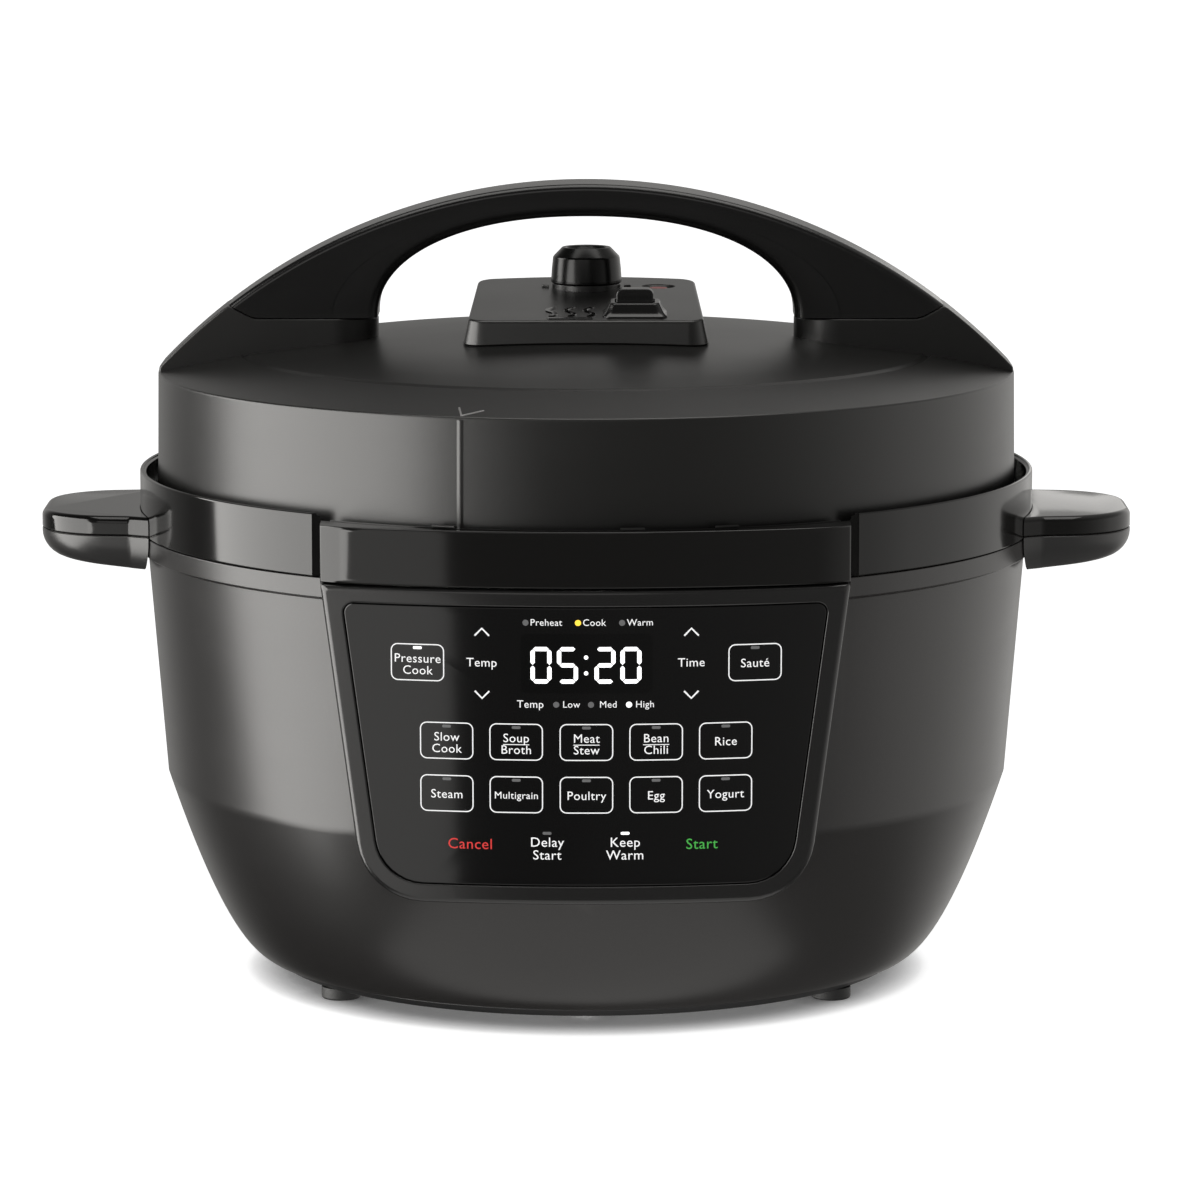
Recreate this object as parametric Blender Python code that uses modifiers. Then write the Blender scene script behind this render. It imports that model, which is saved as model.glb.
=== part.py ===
"""Wide electric pressure cooker, 430 mm over the handles, as an assembly of separate pieces.

The frame is +Z up, with the origin on the table under the middle of the cooker and the
control console facing -Y. All sizes are in metres. Run it with
blender --background --python part.py, or from Blender's text editor.
"""

import math

import bmesh
import bpy
from mathutils import Matrix, Vector

# Fits and finish
GAP = 0.0003                    # between two pieces that touch
CLEARANCE = 0.0006              # around a piece that slides or turns
MERGE = 0.00005                 # merge distance of the turned shapes
SHELL_SEGMENTS = 48             # sides of a large turned piece
INNER_SEGMENTS = 36             # of a turned piece inside
ROUND_SEGMENTS = 16             # of a small turned piece

# Outer housing, a turned shell
HOUSING_WALL = 0.0028
HOUSING_TOP_Z = 0.1775
HOUSING_LIP_RADIUS = 0.1764
HOUSING_LIP_Z = 0.1690          # underside of the lip
HOUSING_NECK_RADIUS = 0.1737    # just below the lip
CREASE_RADIUS = 0.1666
CREASE_Z = 0.0815
BELLY_FOOT_RADIUS = 0.1315
BELLY_FOOT_Z = 0.0092
BELLY_UPPER_HANDLE = (-0.0086, -0.0265)     # from the crease, steers the belly's curve
BELLY_LOWER_HANDLE = (0.0125, 0.0078)       # from the belly's foot

# Bottom cover, feet and screws
COVER_RADIUS = 0.1290
COVER_BOTTOM_RADIUS = 0.1240
COVER_BOTTOM_Z = 0.0050
COVER_THICKNESS = 0.0025
FOOT_RADIUS = 0.0077
FOOT_X = 0.0957
FOOT_Y = 0.0665
SCREW_CIRCLE_RADIUS = 0.1020
SCREW_HEAD_RADIUS = 0.0040
SCREW_SHANK_RADIUS = 0.0018
SCREW_LENGTH = 0.0120
VENT_SLOT = (0.0460, 0.0040)
VENT_PITCH = 0.0120
VENT_COUNT = 5

# Rim collar with its condensation trough
COLLAR_RADIUS = 0.1766
COLLAR_WALL = 0.0024
COLLAR_TOP_Z = 0.2015
TROUGH_FLOOR_Z = 0.1835
TROUGH_THICKNESS = 0.0025
TROUGH_INNER_RADIUS = 0.1466
TROUGH_INNER_WALL = 0.0020

# Front console: fascia, bezel and touch panel share one bowed front
CONSOLE_BOW_RADIUS = 0.3130
CONSOLE_FRONT = 0.1765          # distance of the bow's crest from the cooker's axis
CONSOLE_TILT = math.radians(4.8)
CONSOLE_HALF_TOP = 0.0987
CONSOLE_HALF_BOTTOM = 0.0831
CONSOLE_BOTTOM_Z = 0.0567
CONSOLE_CORNER = 0.0250
CONSOLE_BACK = 0.1480
FASCIA_TOP_Z = 0.1990
FASCIA_WALL = 0.0025
FASCIA_SEAT_RADIUS = 0.1754     # the collar is pared down to this behind the fascia
BEZEL_SIDE = 0.0073
BEZEL_TOP = 0.0064
BEZEL_BOTTOM = 0.0072
PANEL_THICKNESS = 0.0025
PANEL_SET_BACK = 0.0005
PANEL_LEDGE = 0.0020
PANEL_CORNER = 0.0180
DISPLAY_SIZE = (0.0490, 0.0240)
DISPLAY_Z = 0.1489
CONTROL_BOARD_SIZE = (0.1340, 0.0016, 0.0840)
CONTROL_BOARD_Y = -0.1520
CONTROL_BOARD_Z = 0.1200

# Liner pot, lock ring and heater
LINER_RADIUS = 0.1350           # inside
LINER_WALL = 0.0010
LINER_FLANGE_Z = 0.1890
LINER_CORNER = 0.0060
LINER_OPENING_RADIUS = 0.1050
LOCK_RING_INNER_RADIUS = 0.1412
LOCK_RING_RADIUS = 0.1520
LOCK_RING_TOP_Z = 0.1943
LOCK_RING_THICKNESS = 0.0018
LOCK_NECK_RADIUS = 0.1440       # inside
LOCK_NECK_WALL = 0.0018
LOCK_NECK_BOTTOM_Z = 0.1780
LUG_COUNT = 8
LUG_ANGLE = math.radians(10)
BASE_LUG_RADIUS = 0.1580
LID_LUG_OFFSET = math.radians(11)   # turn from a cooker lug to the next lid lug, lid closed
HEATER_RADIUS = 0.1180
HEATER_TOP_Z = 0.0515
HEATER_THICKNESS = 0.0100
HEATER_TUBE_RING_RADIUS = 0.0850
HEATER_TUBE_RADIUS = 0.0035
HEATER_TUBE_GAP = math.radians(50)

# Sprung temperature sensor in the middle of the heater
SENSOR_RADIUS = 0.0150
SENSOR_GAP = 0.0010             # all round the cap, in the heater's hole
HEATER_HOLE_RADIUS = SENSOR_RADIUS + SENSOR_GAP
SENSOR_CAP_THICKNESS = 0.0026
SENSOR_STEM_RADIUS = 0.0042
SENSOR_TRAVEL = 0.0020
SENSOR_STEM_LENGTH = 0.0225
BRACKET_BORE_RADIUS = 0.0100
BRACKET_WALL = 0.0015
BRACKET_BOTTOM_Z = 0.0300
BRACKET_LAP = 0.0040            # of its flange, past the heater's hole
BRACKET_FLANGE_RADIUS = HEATER_HOLE_RADIUS + BRACKET_LAP
BRACKET_FLANGE = 0.0012
SENSOR_SPRING_RADIUS = 0.0072
SENSOR_SPRING_WIRE = 0.0006
SENSOR_SPRING_TURNS = 4

# Electrics in the base
POWER_BOARD_SIZE = (0.0900, 0.0600, 0.0016)
POWER_BOARD_CENTRE = (0.0, -0.0850, 0.0200)
TRANSFORMER_SIZE = (0.0300, 0.0260, 0.0140)
PILLAR_RADIUS = 0.0030
PILLAR_INSET = 0.0050           # from the board's edges
INLET_SIZE = (0.0300, 0.0240, 0.0220)
INLET_REAR_Y = 0.1500
INLET_Z = 0.0255
INLET_FLANGE_SIZE = (0.0360, 0.0030, 0.0230)
SOCKET_SIZE = (0.0240, 0.0140, 0.0160)
SOCKET_PIN_SIZE = (0.0020, 0.0190, 0.0040)
SOCKET_PIN_TIP_Y = 0.1460
SOCKET_PIN_SPACING = 0.0070
LEAD_RADIUS = 0.0025
LEAD_X = 0.0300                 # where it meets the board

# Condensation cup at the back, let into the housing
CUP_HALF_WIDTH = 0.0330
CUP_BOTTOM_Z = 0.1300
CUP_TOP_Z = 0.1650
CUP_FRONT_Y = 0.1500
CUP_RADIUS = 0.1762             # its back follows the collar
CUP_WALL = 0.0020

# Side handles
HANDLE_TIP_X = 0.2150
HANDLE_HALF_WIDTH = 0.0420
HANDLE_ROOT_HALF_WIDTH = 0.0490
HANDLE_ROOT_X = 0.1660
HANDLE_CORNER = 0.0300
HANDLE_TOP_Z = 0.1861
HANDLE_SEAM_Z = 0.1788
HANDLE_BOTTOM_Z = 0.1645
HANDLE_TOP_EDGE = 0.0030
HANDLE_BOTTOM_EDGE = 0.0070

# Inner pot
POT_RADIUS = 0.1310             # inside
POT_WALL = 0.0010
POT_BOTTOM_Z = 0.0520
POT_CORNER = 0.0140
POT_RIM_RADIUS = 0.1363
POT_RIM_Z = 0.1905

# Lid
LID_RADIUS = 0.1690
LID_SKIRT_FLARE = 0.0006
LID_SKIRT_BOTTOM_Z = 0.1880
LID_EDGE_Z = 0.2400
LID_SHOULDER_RADIUS = 0.1365
LID_SHOULDER_Z = 0.2466
LID_TOP_Z = 0.2562
LID_WALL = 0.0026
MARK_ANGLE = math.radians(-15.8)    # from the front, along the skirt
MARK_WIDTH = 0.0038
MARK_DEPTH = 0.0016
MARK_ARROW = 0.0090
LID_LINER_RADIUS = 0.1625
LID_LINER_WALL = 0.0015
LID_LINER_Z = 0.2085            # top of its disc
LID_LINER_BOTTOM_Z = 0.1885
LID_LUG_INNER_RADIUS = 0.1550
LID_LUG_Z = 0.1895
LID_LUG_THICKNESS = 0.0020
SEAL_INNER_RADIUS = 0.1275
SEAL_RADIUS = 0.1400
SEAL_LIP = 0.0040
SEAL_GROOVE = 0.0070            # its depth from the ring's inside
RACK_WIRE = 0.0011

# Lid handle, an arch over the lid in the XZ plane
ARCH_RADIUS = 0.2320
ARCH_TOP_Z = 0.3138
ARCH_WIDTH = 0.0310
ARCH_SPLIT_Z = 0.2612
ARCH_SPLIT_OUTER_X = 0.1405
ARCH_SPLIT_BEND_X = 0.1310
SEAM_HALF_SPAN = 0.0998
SEAM_TOP_Z = 0.3056
GRIP_HALF_SPAN = 0.0820
GRIP_TOP_Z = 0.3009
GRIP_EXPONENT = 2.2
ARCH_EDGE = 0.0020
GRIP_EDGE = 0.0040

# Valve cover on the lid, with the steam valve, float valve and release button
COVER_FRONT_Y = -0.0520
COVER_BACK_Y = 0.0470
COVER_FRONT_HALF = 0.0480
COVER_BACK_HALF = 0.0455
COVER_CORNER = 0.0060
COVER_DRAFT = 0.0016
COVER_FRONT_Z = 0.2637
COVER_BACK_Z = 0.2708
COVER_WALL = 0.0022
VALVE_Y = 0.0280
PIPE_RADIUS = 0.0048
PIPE_BORE_RADIUS = 0.0028
PIPE_TOP_Z = 0.2785
KNOB_RADIUS = 0.0141
KNOB_BOTTOM_Z = 0.2712
KNOB_SHOULDER_Z = 0.2800
KNOB_TOP_Z = 0.2854
KNOB_CROWN_RADIUS = 0.0085
SHIELD_RADIUS = 0.0110
SHIELD_HEIGHT = 0.0085
SHIELD_WALL = 0.0010
FLOAT_X = 0.0287
FLOAT_HEAD_RADIUS = 0.0038
FLOAT_STEM_RADIUS = 0.0016
FLOAT_TOP_Z = 0.2690
FLOAT_TRAVEL = 0.0050
FLOAT_SEAL_RADIUS = 0.0044
FLOAT_SEAL_HEIGHT = 0.0040
FLOAT_DISH = (0.0070, 0.0048, 0.0012)
RELEASE_X = 0.0190
RELEASE_Y = -0.0360
RELEASE_SIZE = (0.0144, 0.0076)
RELEASE_TOP_Z = 0.2752
RELEASE_TRAVEL = 0.0030
SURROUND_FOOT = (0.0250, 0.0170)
SURROUND_TOP = (0.0198, 0.0124)
SURROUND_HEIGHT = 0.0055
RELEASE_SPRING_RADIUS = 0.0030
RELEASE_SPRING_WIRE = 0.0004
RELEASE_SPRING_TURNS = 3
RELEASE_SPRING_HEIGHT = 0.0052

FINISHES = {                    # base colour, roughness, metallic
    "housing_satin": ((0.115, 0.110, 0.108), 0.38, 0.55),
    "lid_satin": ((0.045, 0.044, 0.043), 0.50, 0.10),
    "collar_gloss": ((0.030, 0.029, 0.028), 0.15, 0.25),
    "handle_black": ((0.012, 0.012, 0.012), 0.45, 0.0),
    "panel_gloss": ((0.010, 0.010, 0.011), 0.08, 0.0),
    "bezel_satin": ((0.050, 0.049, 0.048), 0.30, 0.20),
    "cover_black": ((0.015, 0.015, 0.015), 0.55, 0.0),
    "foot_rubber": ((0.020, 0.020, 0.020), 0.75, 0.0),
    "pot_steel": ((0.620, 0.610, 0.600), 0.28, 1.0),
    "heater_aluminium": ((0.560, 0.560, 0.570), 0.45, 1.0),
    "seal_silicone": ((0.720, 0.710, 0.690), 0.60, 0.0),
    "float_red": ((0.600, 0.040, 0.030), 0.35, 0.0),
    "board_green": ((0.020, 0.120, 0.050), 0.50, 0.0),
    "screw_steel": ((0.450, 0.450, 0.460), 0.30, 1.0),
    "lead_black": ((0.020, 0.020, 0.022), 0.55, 0.0),
}


def clear_scene():
    for obj in list(bpy.data.objects):
        bpy.data.objects.remove(obj)


def new_collection(name):
    collection = bpy.data.collections.new(name)
    bpy.context.scene.collection.children.link(collection)
    return collection


def finish_material(name):
    """The material of one finish, made the first time it is asked for."""
    found = bpy.data.materials.get(name)
    if found:
        return found
    colour, roughness, metallic = FINISHES[name]
    material = bpy.data.materials.new(name)
    material.use_nodes = True
    shader = material.node_tree.nodes["Principled BSDF"]
    shader.inputs["Base Color"].default_value = (*colour, 1.0)
    shader.inputs["Roughness"].default_value = roughness
    shader.inputs["Metallic"].default_value = metallic
    return material


def place(obj, finish=None):
    """Puts an object in the cooker's collection, or with the cutters if it has no finish."""
    for collection in obj.users_collection:
        collection.objects.unlink(obj)
    (COOKER if finish else CUTTERS).objects.link(obj)
    if finish:
        obj.data.materials.append(finish_material(finish))
    else:
        obj.hide_render = True
        obj.display_type = "WIRE"
    return obj


# ---- shape tools


def signed_area(points):
    pairs = zip(points, points[1:] + points[:1])
    return sum(a[0] * b[1] - b[0] * a[1] for a, b in pairs) / 2


def turned(name, profile, finish=None, closed=True, segments=SHELL_SEGMENTS, centre=(0, 0)):
    """A turned solid. The profile is (radius, height) points: a loop, or a line from axis to axis."""
    points = list(profile)
    if signed_area(points) > 0:
        points.reverse()
    count = len(points)
    edges = [(i, i + 1) for i in range(count - 1)]
    if closed:
        edges.append((count - 1, 0))
    mesh = bpy.data.meshes.new(name)
    mesh.from_pydata([(r, 0, z) for r, z in points], edges, [])
    obj = bpy.data.objects.new(name, mesh)
    bpy.context.scene.collection.objects.link(obj)
    obj.location = (*centre, 0)
    spin = obj.modifiers.new("spin", "SCREW")
    spin.steps = spin.render_steps = segments
    spin.use_merge_vertices = True
    spin.merge_threshold = MERGE
    spin.use_smooth_shade = True
    return place(obj, finish)


def turned_shell(name, profile, wall, finish, segments=SHELL_SEGMENTS, centre=(0, 0)):
    """A turned sheet of even thickness. The profile is its outer face, run from top to bottom."""
    obj = turned_line(name, profile, segments, centre)
    skin = obj.modifiers.new("wall", "SOLIDIFY")
    skin.thickness = wall
    skin.offset = -1
    skin.use_even_offset = True
    return place(obj, finish)


def turned_line(name, profile, segments, centre):
    mesh = bpy.data.meshes.new(name)
    edges = [(i, i + 1) for i in range(len(profile) - 1)]
    mesh.from_pydata([(r, 0, z) for r, z in profile], edges, [])
    obj = bpy.data.objects.new(name, mesh)
    bpy.context.scene.collection.objects.link(obj)
    obj.location = (*centre, 0)
    spin = obj.modifiers.new("spin", "SCREW")
    spin.steps = spin.render_steps = segments
    spin.use_merge_vertices = True
    spin.merge_threshold = MERGE
    spin.use_smooth_shade = True
    return obj


def disc(name, radius, low, high, finish=None, segments=ROUND_SEGMENTS, centre=(0, 0)):
    """A plain upright cylinder between two heights."""
    bpy.ops.mesh.primitive_cylinder_add(
        vertices=segments, radius=radius, depth=high - low, location=(*centre, (low + high) / 2)
    )
    obj = bpy.context.object
    obj.name = name
    return place(obj, finish)


def block(name, size, centre, finish=None):
    """A plain box of full sizes, with its scale applied."""
    bpy.ops.mesh.primitive_cube_add(size=1, location=centre)
    obj = bpy.context.object
    obj.name = name
    obj.data.transform(Matrix.Diagonal((*size, 1)))
    return place(obj, finish)


def plate(name, outlines, low, high, plane="XY", finish=None):
    """A flat piece from closed outlines, the later ones being holes, between two levels.

    In plane XY the levels are heights. In plane XZ the outline stands up and they are Y.
    """
    curve = bpy.data.curves.new(name, "CURVE")
    curve.dimensions = "2D"
    curve.fill_mode = "BOTH"
    curve.extrude = (high - low) / 2
    for outline in outlines:
        spline = curve.splines.new("POLY")
        spline.points.add(len(outline) - 1)
        for point, (x, y) in zip(spline.points, outline):
            point.co = (x, y, 0, 1)
        spline.use_cyclic_u = True
    obj = bpy.data.objects.new(name, curve)
    bpy.context.scene.collection.objects.link(obj)
    if plane == "XZ":
        obj.rotation_euler = (math.pi / 2, 0, 0)
        obj.location = (0, (low + high) / 2, 0)
    else:
        obj.location = (0, 0, (low + high) / 2)
    return place(as_mesh(obj), finish)


def as_mesh(obj):
    """The mesh of a curve object, with its caps welded, in the curve's place."""
    bpy.context.view_layer.update()
    graph = bpy.context.evaluated_depsgraph_get()
    mesh = bpy.data.meshes.new_from_object(obj.evaluated_get(graph))
    work = bmesh.new()
    work.from_mesh(mesh)
    bmesh.ops.remove_doubles(work, verts=work.verts, dist=1e-6)
    bmesh.ops.recalc_face_normals(work, faces=work.faces)
    work.to_mesh(mesh)
    work.free()
    made = bpy.data.objects.new(obj.name, mesh)
    made.matrix_world = obj.matrix_world.copy()
    bpy.context.scene.collection.objects.link(made)
    name = obj.name
    bpy.data.objects.remove(obj)
    made.name = name
    return made


def tube(name, route, radius, finish, sides=2):
    """A round wire or tube along a list of points."""
    curve = bpy.data.curves.new(name, "CURVE")
    curve.dimensions = "3D"
    curve.bevel_depth = radius
    curve.bevel_resolution = sides
    curve.use_fill_caps = True
    spline = curve.splines.new("POLY")
    spline.points.add(len(route) - 1)
    for point, place_ in zip(spline.points, route):
        point.co = (*place_, 1)
    obj = bpy.data.objects.new(name, curve)
    bpy.context.scene.collection.objects.link(obj)
    return place(obj, finish)


def boolean(obj, tool, operation="DIFFERENCE"):
    cut = obj.modifiers.new(operation.lower(), "BOOLEAN")
    cut.operation = operation
    cut.solver = "EXACT"
    cut.object = tool
    return obj


def bevel(obj, width, segments=2, angle=math.radians(40)):
    edge = obj.modifiers.new("edge", "BEVEL")
    edge.width = width
    edge.segments = segments
    edge.limit_method = "ANGLE"
    edge.angle_limit = angle
    return obj


def arc(centre, radius, start, end, steps):
    """Points of an arc, both ends included. Angles are in radians from +X, anticlockwise."""
    return [
        (
            centre[0] + radius * math.cos(start + (end - start) * i / steps),
            centre[1] + radius * math.sin(start + (end - start) * i / steps),
        )
        for i in range(steps + 1)
    ]


def circle(radius, segments):
    return arc((0, 0), radius, 0, 2 * math.pi * (segments - 1) / segments, segments - 1)


def rounded(corners, steps=5):
    """A closed outline from (x, y, fillet radius) corners."""
    outline = []
    count = len(corners)
    for i, (x, y, radius) in enumerate(corners):
        here = Vector((x, y))
        before = (Vector(corners[i - 1][:2]) - here).normalized()
        after = (Vector(corners[(i + 1) % count][:2]) - here).normalized()
        if radius <= 0:
            outline.append((x, y))
            continue
        half = before.angle(after) / 2
        start = here + before * radius / math.tan(half)
        middle = here + (before + after).normalized() * radius / math.sin(half)
        first = start - middle
        turn = 2 * (math.pi / 2 - half)
        side = 1 if before.cross(after) < 0 else -1
        for k in range(steps + 1):
            spot = middle + Matrix.Rotation(side * turn * k / steps, 2) @ first
            outline.append(tuple(spot))
    return outline


def bezier(p0, p1, p2, p3, steps):
    """Points of a cubic curve, both ends included."""
    points = []
    for i in range(steps + 1):
        t = i / steps
        weights = ((1 - t) ** 3, 3 * t * (1 - t) ** 2, 3 * t * t * (1 - t), t**3)
        points.append(
            tuple(
                sum(w * p[axis] for w, p in zip(weights, (p0, p1, p2, p3))) for axis in (0, 1)
            )
        )
    return points


def mirrored(half):
    """A closed outline from its right half, which runs from the middle line to the middle line."""
    left = [(-x, y) for x, y in reversed(half) if abs(x) > 1e-9]
    return half + left


def coil(name, radius, wire, turns, low, high, centre, finish, points_per_turn=8):
    steps = turns * points_per_turn
    climb = high - low - 2 * wire
    route = [
        (
            centre[0] + radius * math.cos(2 * math.pi * i / points_per_turn),
            centre[1] + radius * math.sin(2 * math.pi * i / points_per_turn),
            low + wire + climb * i / steps,
        )
        for i in range(steps + 1)
    ]
    return tube(name, route, wire, finish, sides=0)


# ---- shared surfaces


def lid_height(radius):
    """Height of the lid's outer surface."""
    if radius >= LID_SHOULDER_RADIUS:
        share = (radius - LID_SHOULDER_RADIUS) / (LID_RADIUS - LID_SHOULDER_RADIUS)
        return LID_SHOULDER_Z + (LID_EDGE_Z - LID_SHOULDER_Z) * share
    share = (radius / LID_SHOULDER_RADIUS) ** 2
    return LID_TOP_Z + (LID_SHOULDER_Z - LID_TOP_Z) * share


def lid_crown(rings=4):
    """The lid's top from the axis out to its shoulder."""
    return [
        (LID_SHOULDER_RADIUS * i / rings, lid_height(LID_SHOULDER_RADIUS * i / rings))
        for i in range(rings + 1)
    ]


def lid_envelope():
    """A cutter that fits whatever sits on the lid to its top."""
    top = [(r, z + GAP) for r, z in lid_crown()]
    top.append((LID_RADIUS, LID_EDGE_Z + GAP))
    reach = LID_RADIUS + 0.02
    edge = [(reach, lid_height(reach) + GAP), (reach, LID_SKIRT_BOTTOM_Z), (0, LID_SKIRT_BOTTOM_Z)]
    return turned("lid_envelope", top + edge, closed=False)


def cover_height(y):
    """Height of the valve cover's sloping top."""
    return COVER_FRONT_Z + (COVER_BACK_Z - COVER_FRONT_Z) * (y - COVER_FRONT_Y) / (
        COVER_BACK_Y - COVER_FRONT_Y
    )


def console_half(z):
    """Half width of the console at a height."""
    top = HOUSING_TOP_Z - GAP
    share = (top - z) / (top - CONSOLE_BOTTOM_Z)
    return CONSOLE_HALF_TOP + (CONSOLE_HALF_BOTTOM - CONSOLE_HALF_TOP) * share


def console_outline(inset_side, inset_top, inset_bottom, corner, top_corner=0.0):
    """The console's tapered outline in the XZ plane, drawn in from its edge."""
    top = HOUSING_TOP_Z - GAP - inset_top
    bottom = CONSOLE_BOTTOM_Z + inset_bottom
    half_top = console_half(top) - inset_side
    half_bottom = console_half(bottom) - inset_side
    return rounded(
        [
            (half_top, top, top_corner),
            (-half_top, top, top_corner),
            (-half_bottom, bottom, corner),
            (half_bottom, bottom, corner),
        ]
    )


def bow(set_back, reach=0.115, steps=10):
    """Points of the console's bowed front in plan, left to right."""
    radius = CONSOLE_BOW_RADIUS - set_back
    middle = (0, CONSOLE_BOW_RADIUS - CONSOLE_FRONT)
    swing = math.asin(reach / CONSOLE_BOW_RADIUS)
    return arc(middle, radius, -math.pi / 2 - swing, -math.pi / 2 + swing, steps)


def console_slab(name, set_back, back, tilted=True):
    """Cutter body behind the bowed front. back is a depth behind it, or None for the flat back."""
    front = bow(set_back)
    if back is None:
        rear = [(front[-1][0], -CONSOLE_BACK), (front[0][0], -CONSOLE_BACK)]
    else:
        rear = list(reversed(bow(set_back + back)))
    pivot = HOUSING_TOP_Z
    slab = plate(name, [front + rear], -0.16, 0.05)
    turn = Matrix.Rotation(CONSOLE_TILT if tilted else 0.0, 4, "X")
    lift = Matrix.Translation((0, -CONSOLE_FRONT, pivot))
    slab.matrix_world = lift @ turn @ Matrix.Translation((0, CONSOLE_FRONT, 0)) @ slab.matrix_world
    return slab


# ---- base


def belly(steps=6):
    crease = (CREASE_RADIUS, CREASE_Z)
    foot = (BELLY_FOOT_RADIUS, BELLY_FOOT_Z)
    upper = (crease[0] + BELLY_UPPER_HANDLE[0], crease[1] + BELLY_UPPER_HANDLE[1])
    lower = (foot[0] + BELLY_LOWER_HANDLE[0], foot[1] + BELLY_LOWER_HANDLE[1])
    return bezier(crease, upper, lower, foot, steps)


def inlet_flange_y():
    return INLET_REAR_Y - INLET_SIZE[1] + INLET_FLANGE_SIZE[1]


def build_housing():
    profile = [
        (HOUSING_LIP_RADIUS, HOUSING_TOP_Z),
        (HOUSING_LIP_RADIUS, HOUSING_LIP_Z + 0.0008),
        (HOUSING_NECK_RADIUS, HOUSING_LIP_Z),
        *belly(),
    ]
    housing = turned_shell("outer_housing", profile, HOUSING_WALL, "housing_satin")
    front = console_outline(-CLEARANCE, -0.01, -CLEARANCE, CONSOLE_CORNER)
    boolean(housing, plate("console_opening", [front], -0.21, -0.115, "XZ"))
    inlet = [size + 2 * CLEARANCE for size in INLET_SIZE]
    hole = block("inlet_opening", (inlet[0], 0.06, inlet[2]), (0, INLET_REAR_Y, INLET_Z))
    boolean(housing, hole)
    seat = [size + 2 * GAP for size in INLET_FLANGE_SIZE]
    boolean(housing, block("flange_seat", seat, (0, inlet_flange_y(), INLET_Z)))
    cup_size = (
        2 * (CUP_HALF_WIDTH + CLEARANCE), 0.06, CUP_TOP_Z - CUP_BOTTOM_Z + 2 * CLEARANCE
    )
    middle = (0, CUP_RADIUS, (CUP_TOP_Z + CUP_BOTTOM_Z) / 2)
    boolean(housing, block("cup_opening", cup_size, middle))


def build_bottom():
    profile = [
        (0, COVER_BOTTOM_Z + COVER_THICKNESS),
        (COVER_BOTTOM_RADIUS - 0.002, COVER_BOTTOM_Z + COVER_THICKNESS),
        (COVER_RADIUS - 0.002, BELLY_FOOT_Z - GAP),
        (COVER_RADIUS, BELLY_FOOT_Z - GAP),
        (COVER_BOTTOM_RADIUS, COVER_BOTTOM_Z),
        (0, COVER_BOTTOM_Z),
    ]
    cover = turned("bottom_cover", profile, "cover_black", closed=False)
    build_board_pillars(cover)
    for row in range(VENT_COUNT):
        offset = (row - (VENT_COUNT - 1) / 2) * VENT_PITCH
        slot = block(
            f"vent_cutter_{row + 1}", (VENT_SLOT[0], VENT_SLOT[1], 0.02), (0, offset, COVER_BOTTOM_Z)
        )
        boolean(cover, slot)
    for index, (side, end) in enumerate(((-1, -1), (1, -1), (-1, 1), (1, 1)), start=1):
        foot = disc(
            f"foot_{index}", FOOT_RADIUS, 0, COVER_BOTTOM_Z - GAP, "foot_rubber",
            centre=(side * FOOT_X, end * FOOT_Y),
        )
        bevel(foot, 0.0008, segments=1)
    for index in range(4):
        build_cover_screw(cover, index)


def build_board_pillars(cover):
    """Four posts on the bottom cover that carry the power board."""
    x, y, z = POWER_BOARD_CENTRE
    reach_x = POWER_BOARD_SIZE[0] / 2 - PILLAR_INSET
    reach_y = POWER_BOARD_SIZE[1] / 2 - PILLAR_INSET
    low = COVER_BOTTOM_Z + COVER_THICKNESS / 2
    high = z - POWER_BOARD_SIZE[2] / 2 - GAP
    for index, (side, end) in enumerate(((-1, -1), (1, -1), (-1, 1), (1, 1)), start=1):
        centre = (x + side * reach_x, y + end * reach_y)
        post = disc(f"board_pillar_{index}", PILLAR_RADIUS, low, high, None, 8, centre)
        boolean(cover, post, "UNION")


def build_cover_screw(cover, index):
    """A pan-head screw up through the bottom cover, and its hole."""
    angle = index * math.pi / 2
    centre = (SCREW_CIRCLE_RADIUS * math.cos(angle), SCREW_CIRCLE_RADIUS * math.sin(angle))
    under = COVER_BOTTOM_Z - GAP
    head = under - 0.0022
    profile = [
        (0, under + SCREW_LENGTH),
        (SCREW_SHANK_RADIUS, under + SCREW_LENGTH - 0.001),
        (SCREW_SHANK_RADIUS, under),
        (SCREW_HEAD_RADIUS, under),
        (SCREW_HEAD_RADIUS * 0.8, head),
        (0, head),
    ]
    turned(f"cover_screw_{index + 1}", profile, "screw_steel", False, 8, centre)
    hole = SCREW_SHANK_RADIUS + GAP
    boolean(cover, disc(f"screw_hole_{index + 1}", hole, 0, 0.02, segments=8, centre=centre))


def build_collar():
    inside = COLLAR_RADIUS - COLLAR_WALL
    low = HOUSING_TOP_Z + GAP
    under = TROUGH_FLOOR_Z - TROUGH_THICKNESS
    inner_top = LOCK_RING_TOP_Z - LOCK_RING_THICKNESS - GAP
    profile = [
        (inside, COLLAR_TOP_Z),
        (COLLAR_RADIUS, COLLAR_TOP_Z),
        (COLLAR_RADIUS, low),
        (inside, low),
        (inside, under),
        (TROUGH_INNER_RADIUS, under),
        (TROUGH_INNER_RADIUS, inner_top),
        (TROUGH_INNER_RADIUS + TROUGH_INNER_WALL, inner_top),
        (TROUGH_INNER_RADIUS + TROUGH_INNER_WALL, TROUGH_FLOOR_Z),
        (inside, TROUGH_FLOOR_Z),
    ]
    collar = turned("rim_collar", profile, "collar_gloss")
    seat_width = 2 * (CONSOLE_HALF_TOP + CLEARANCE)
    seat_top = FASCIA_TOP_Z + GAP
    seat_size = (seat_width, 0.12, seat_top - 0.16)
    seat = block("fascia_seat", seat_size, (0, -0.17, (seat_top + 0.16) / 2))
    boolean(seat, disc("fascia_seat_core", FASCIA_SEAT_RADIUS, 0.1, 0.25, None, SHELL_SEGMENTS))
    boolean(collar, seat)


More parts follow.
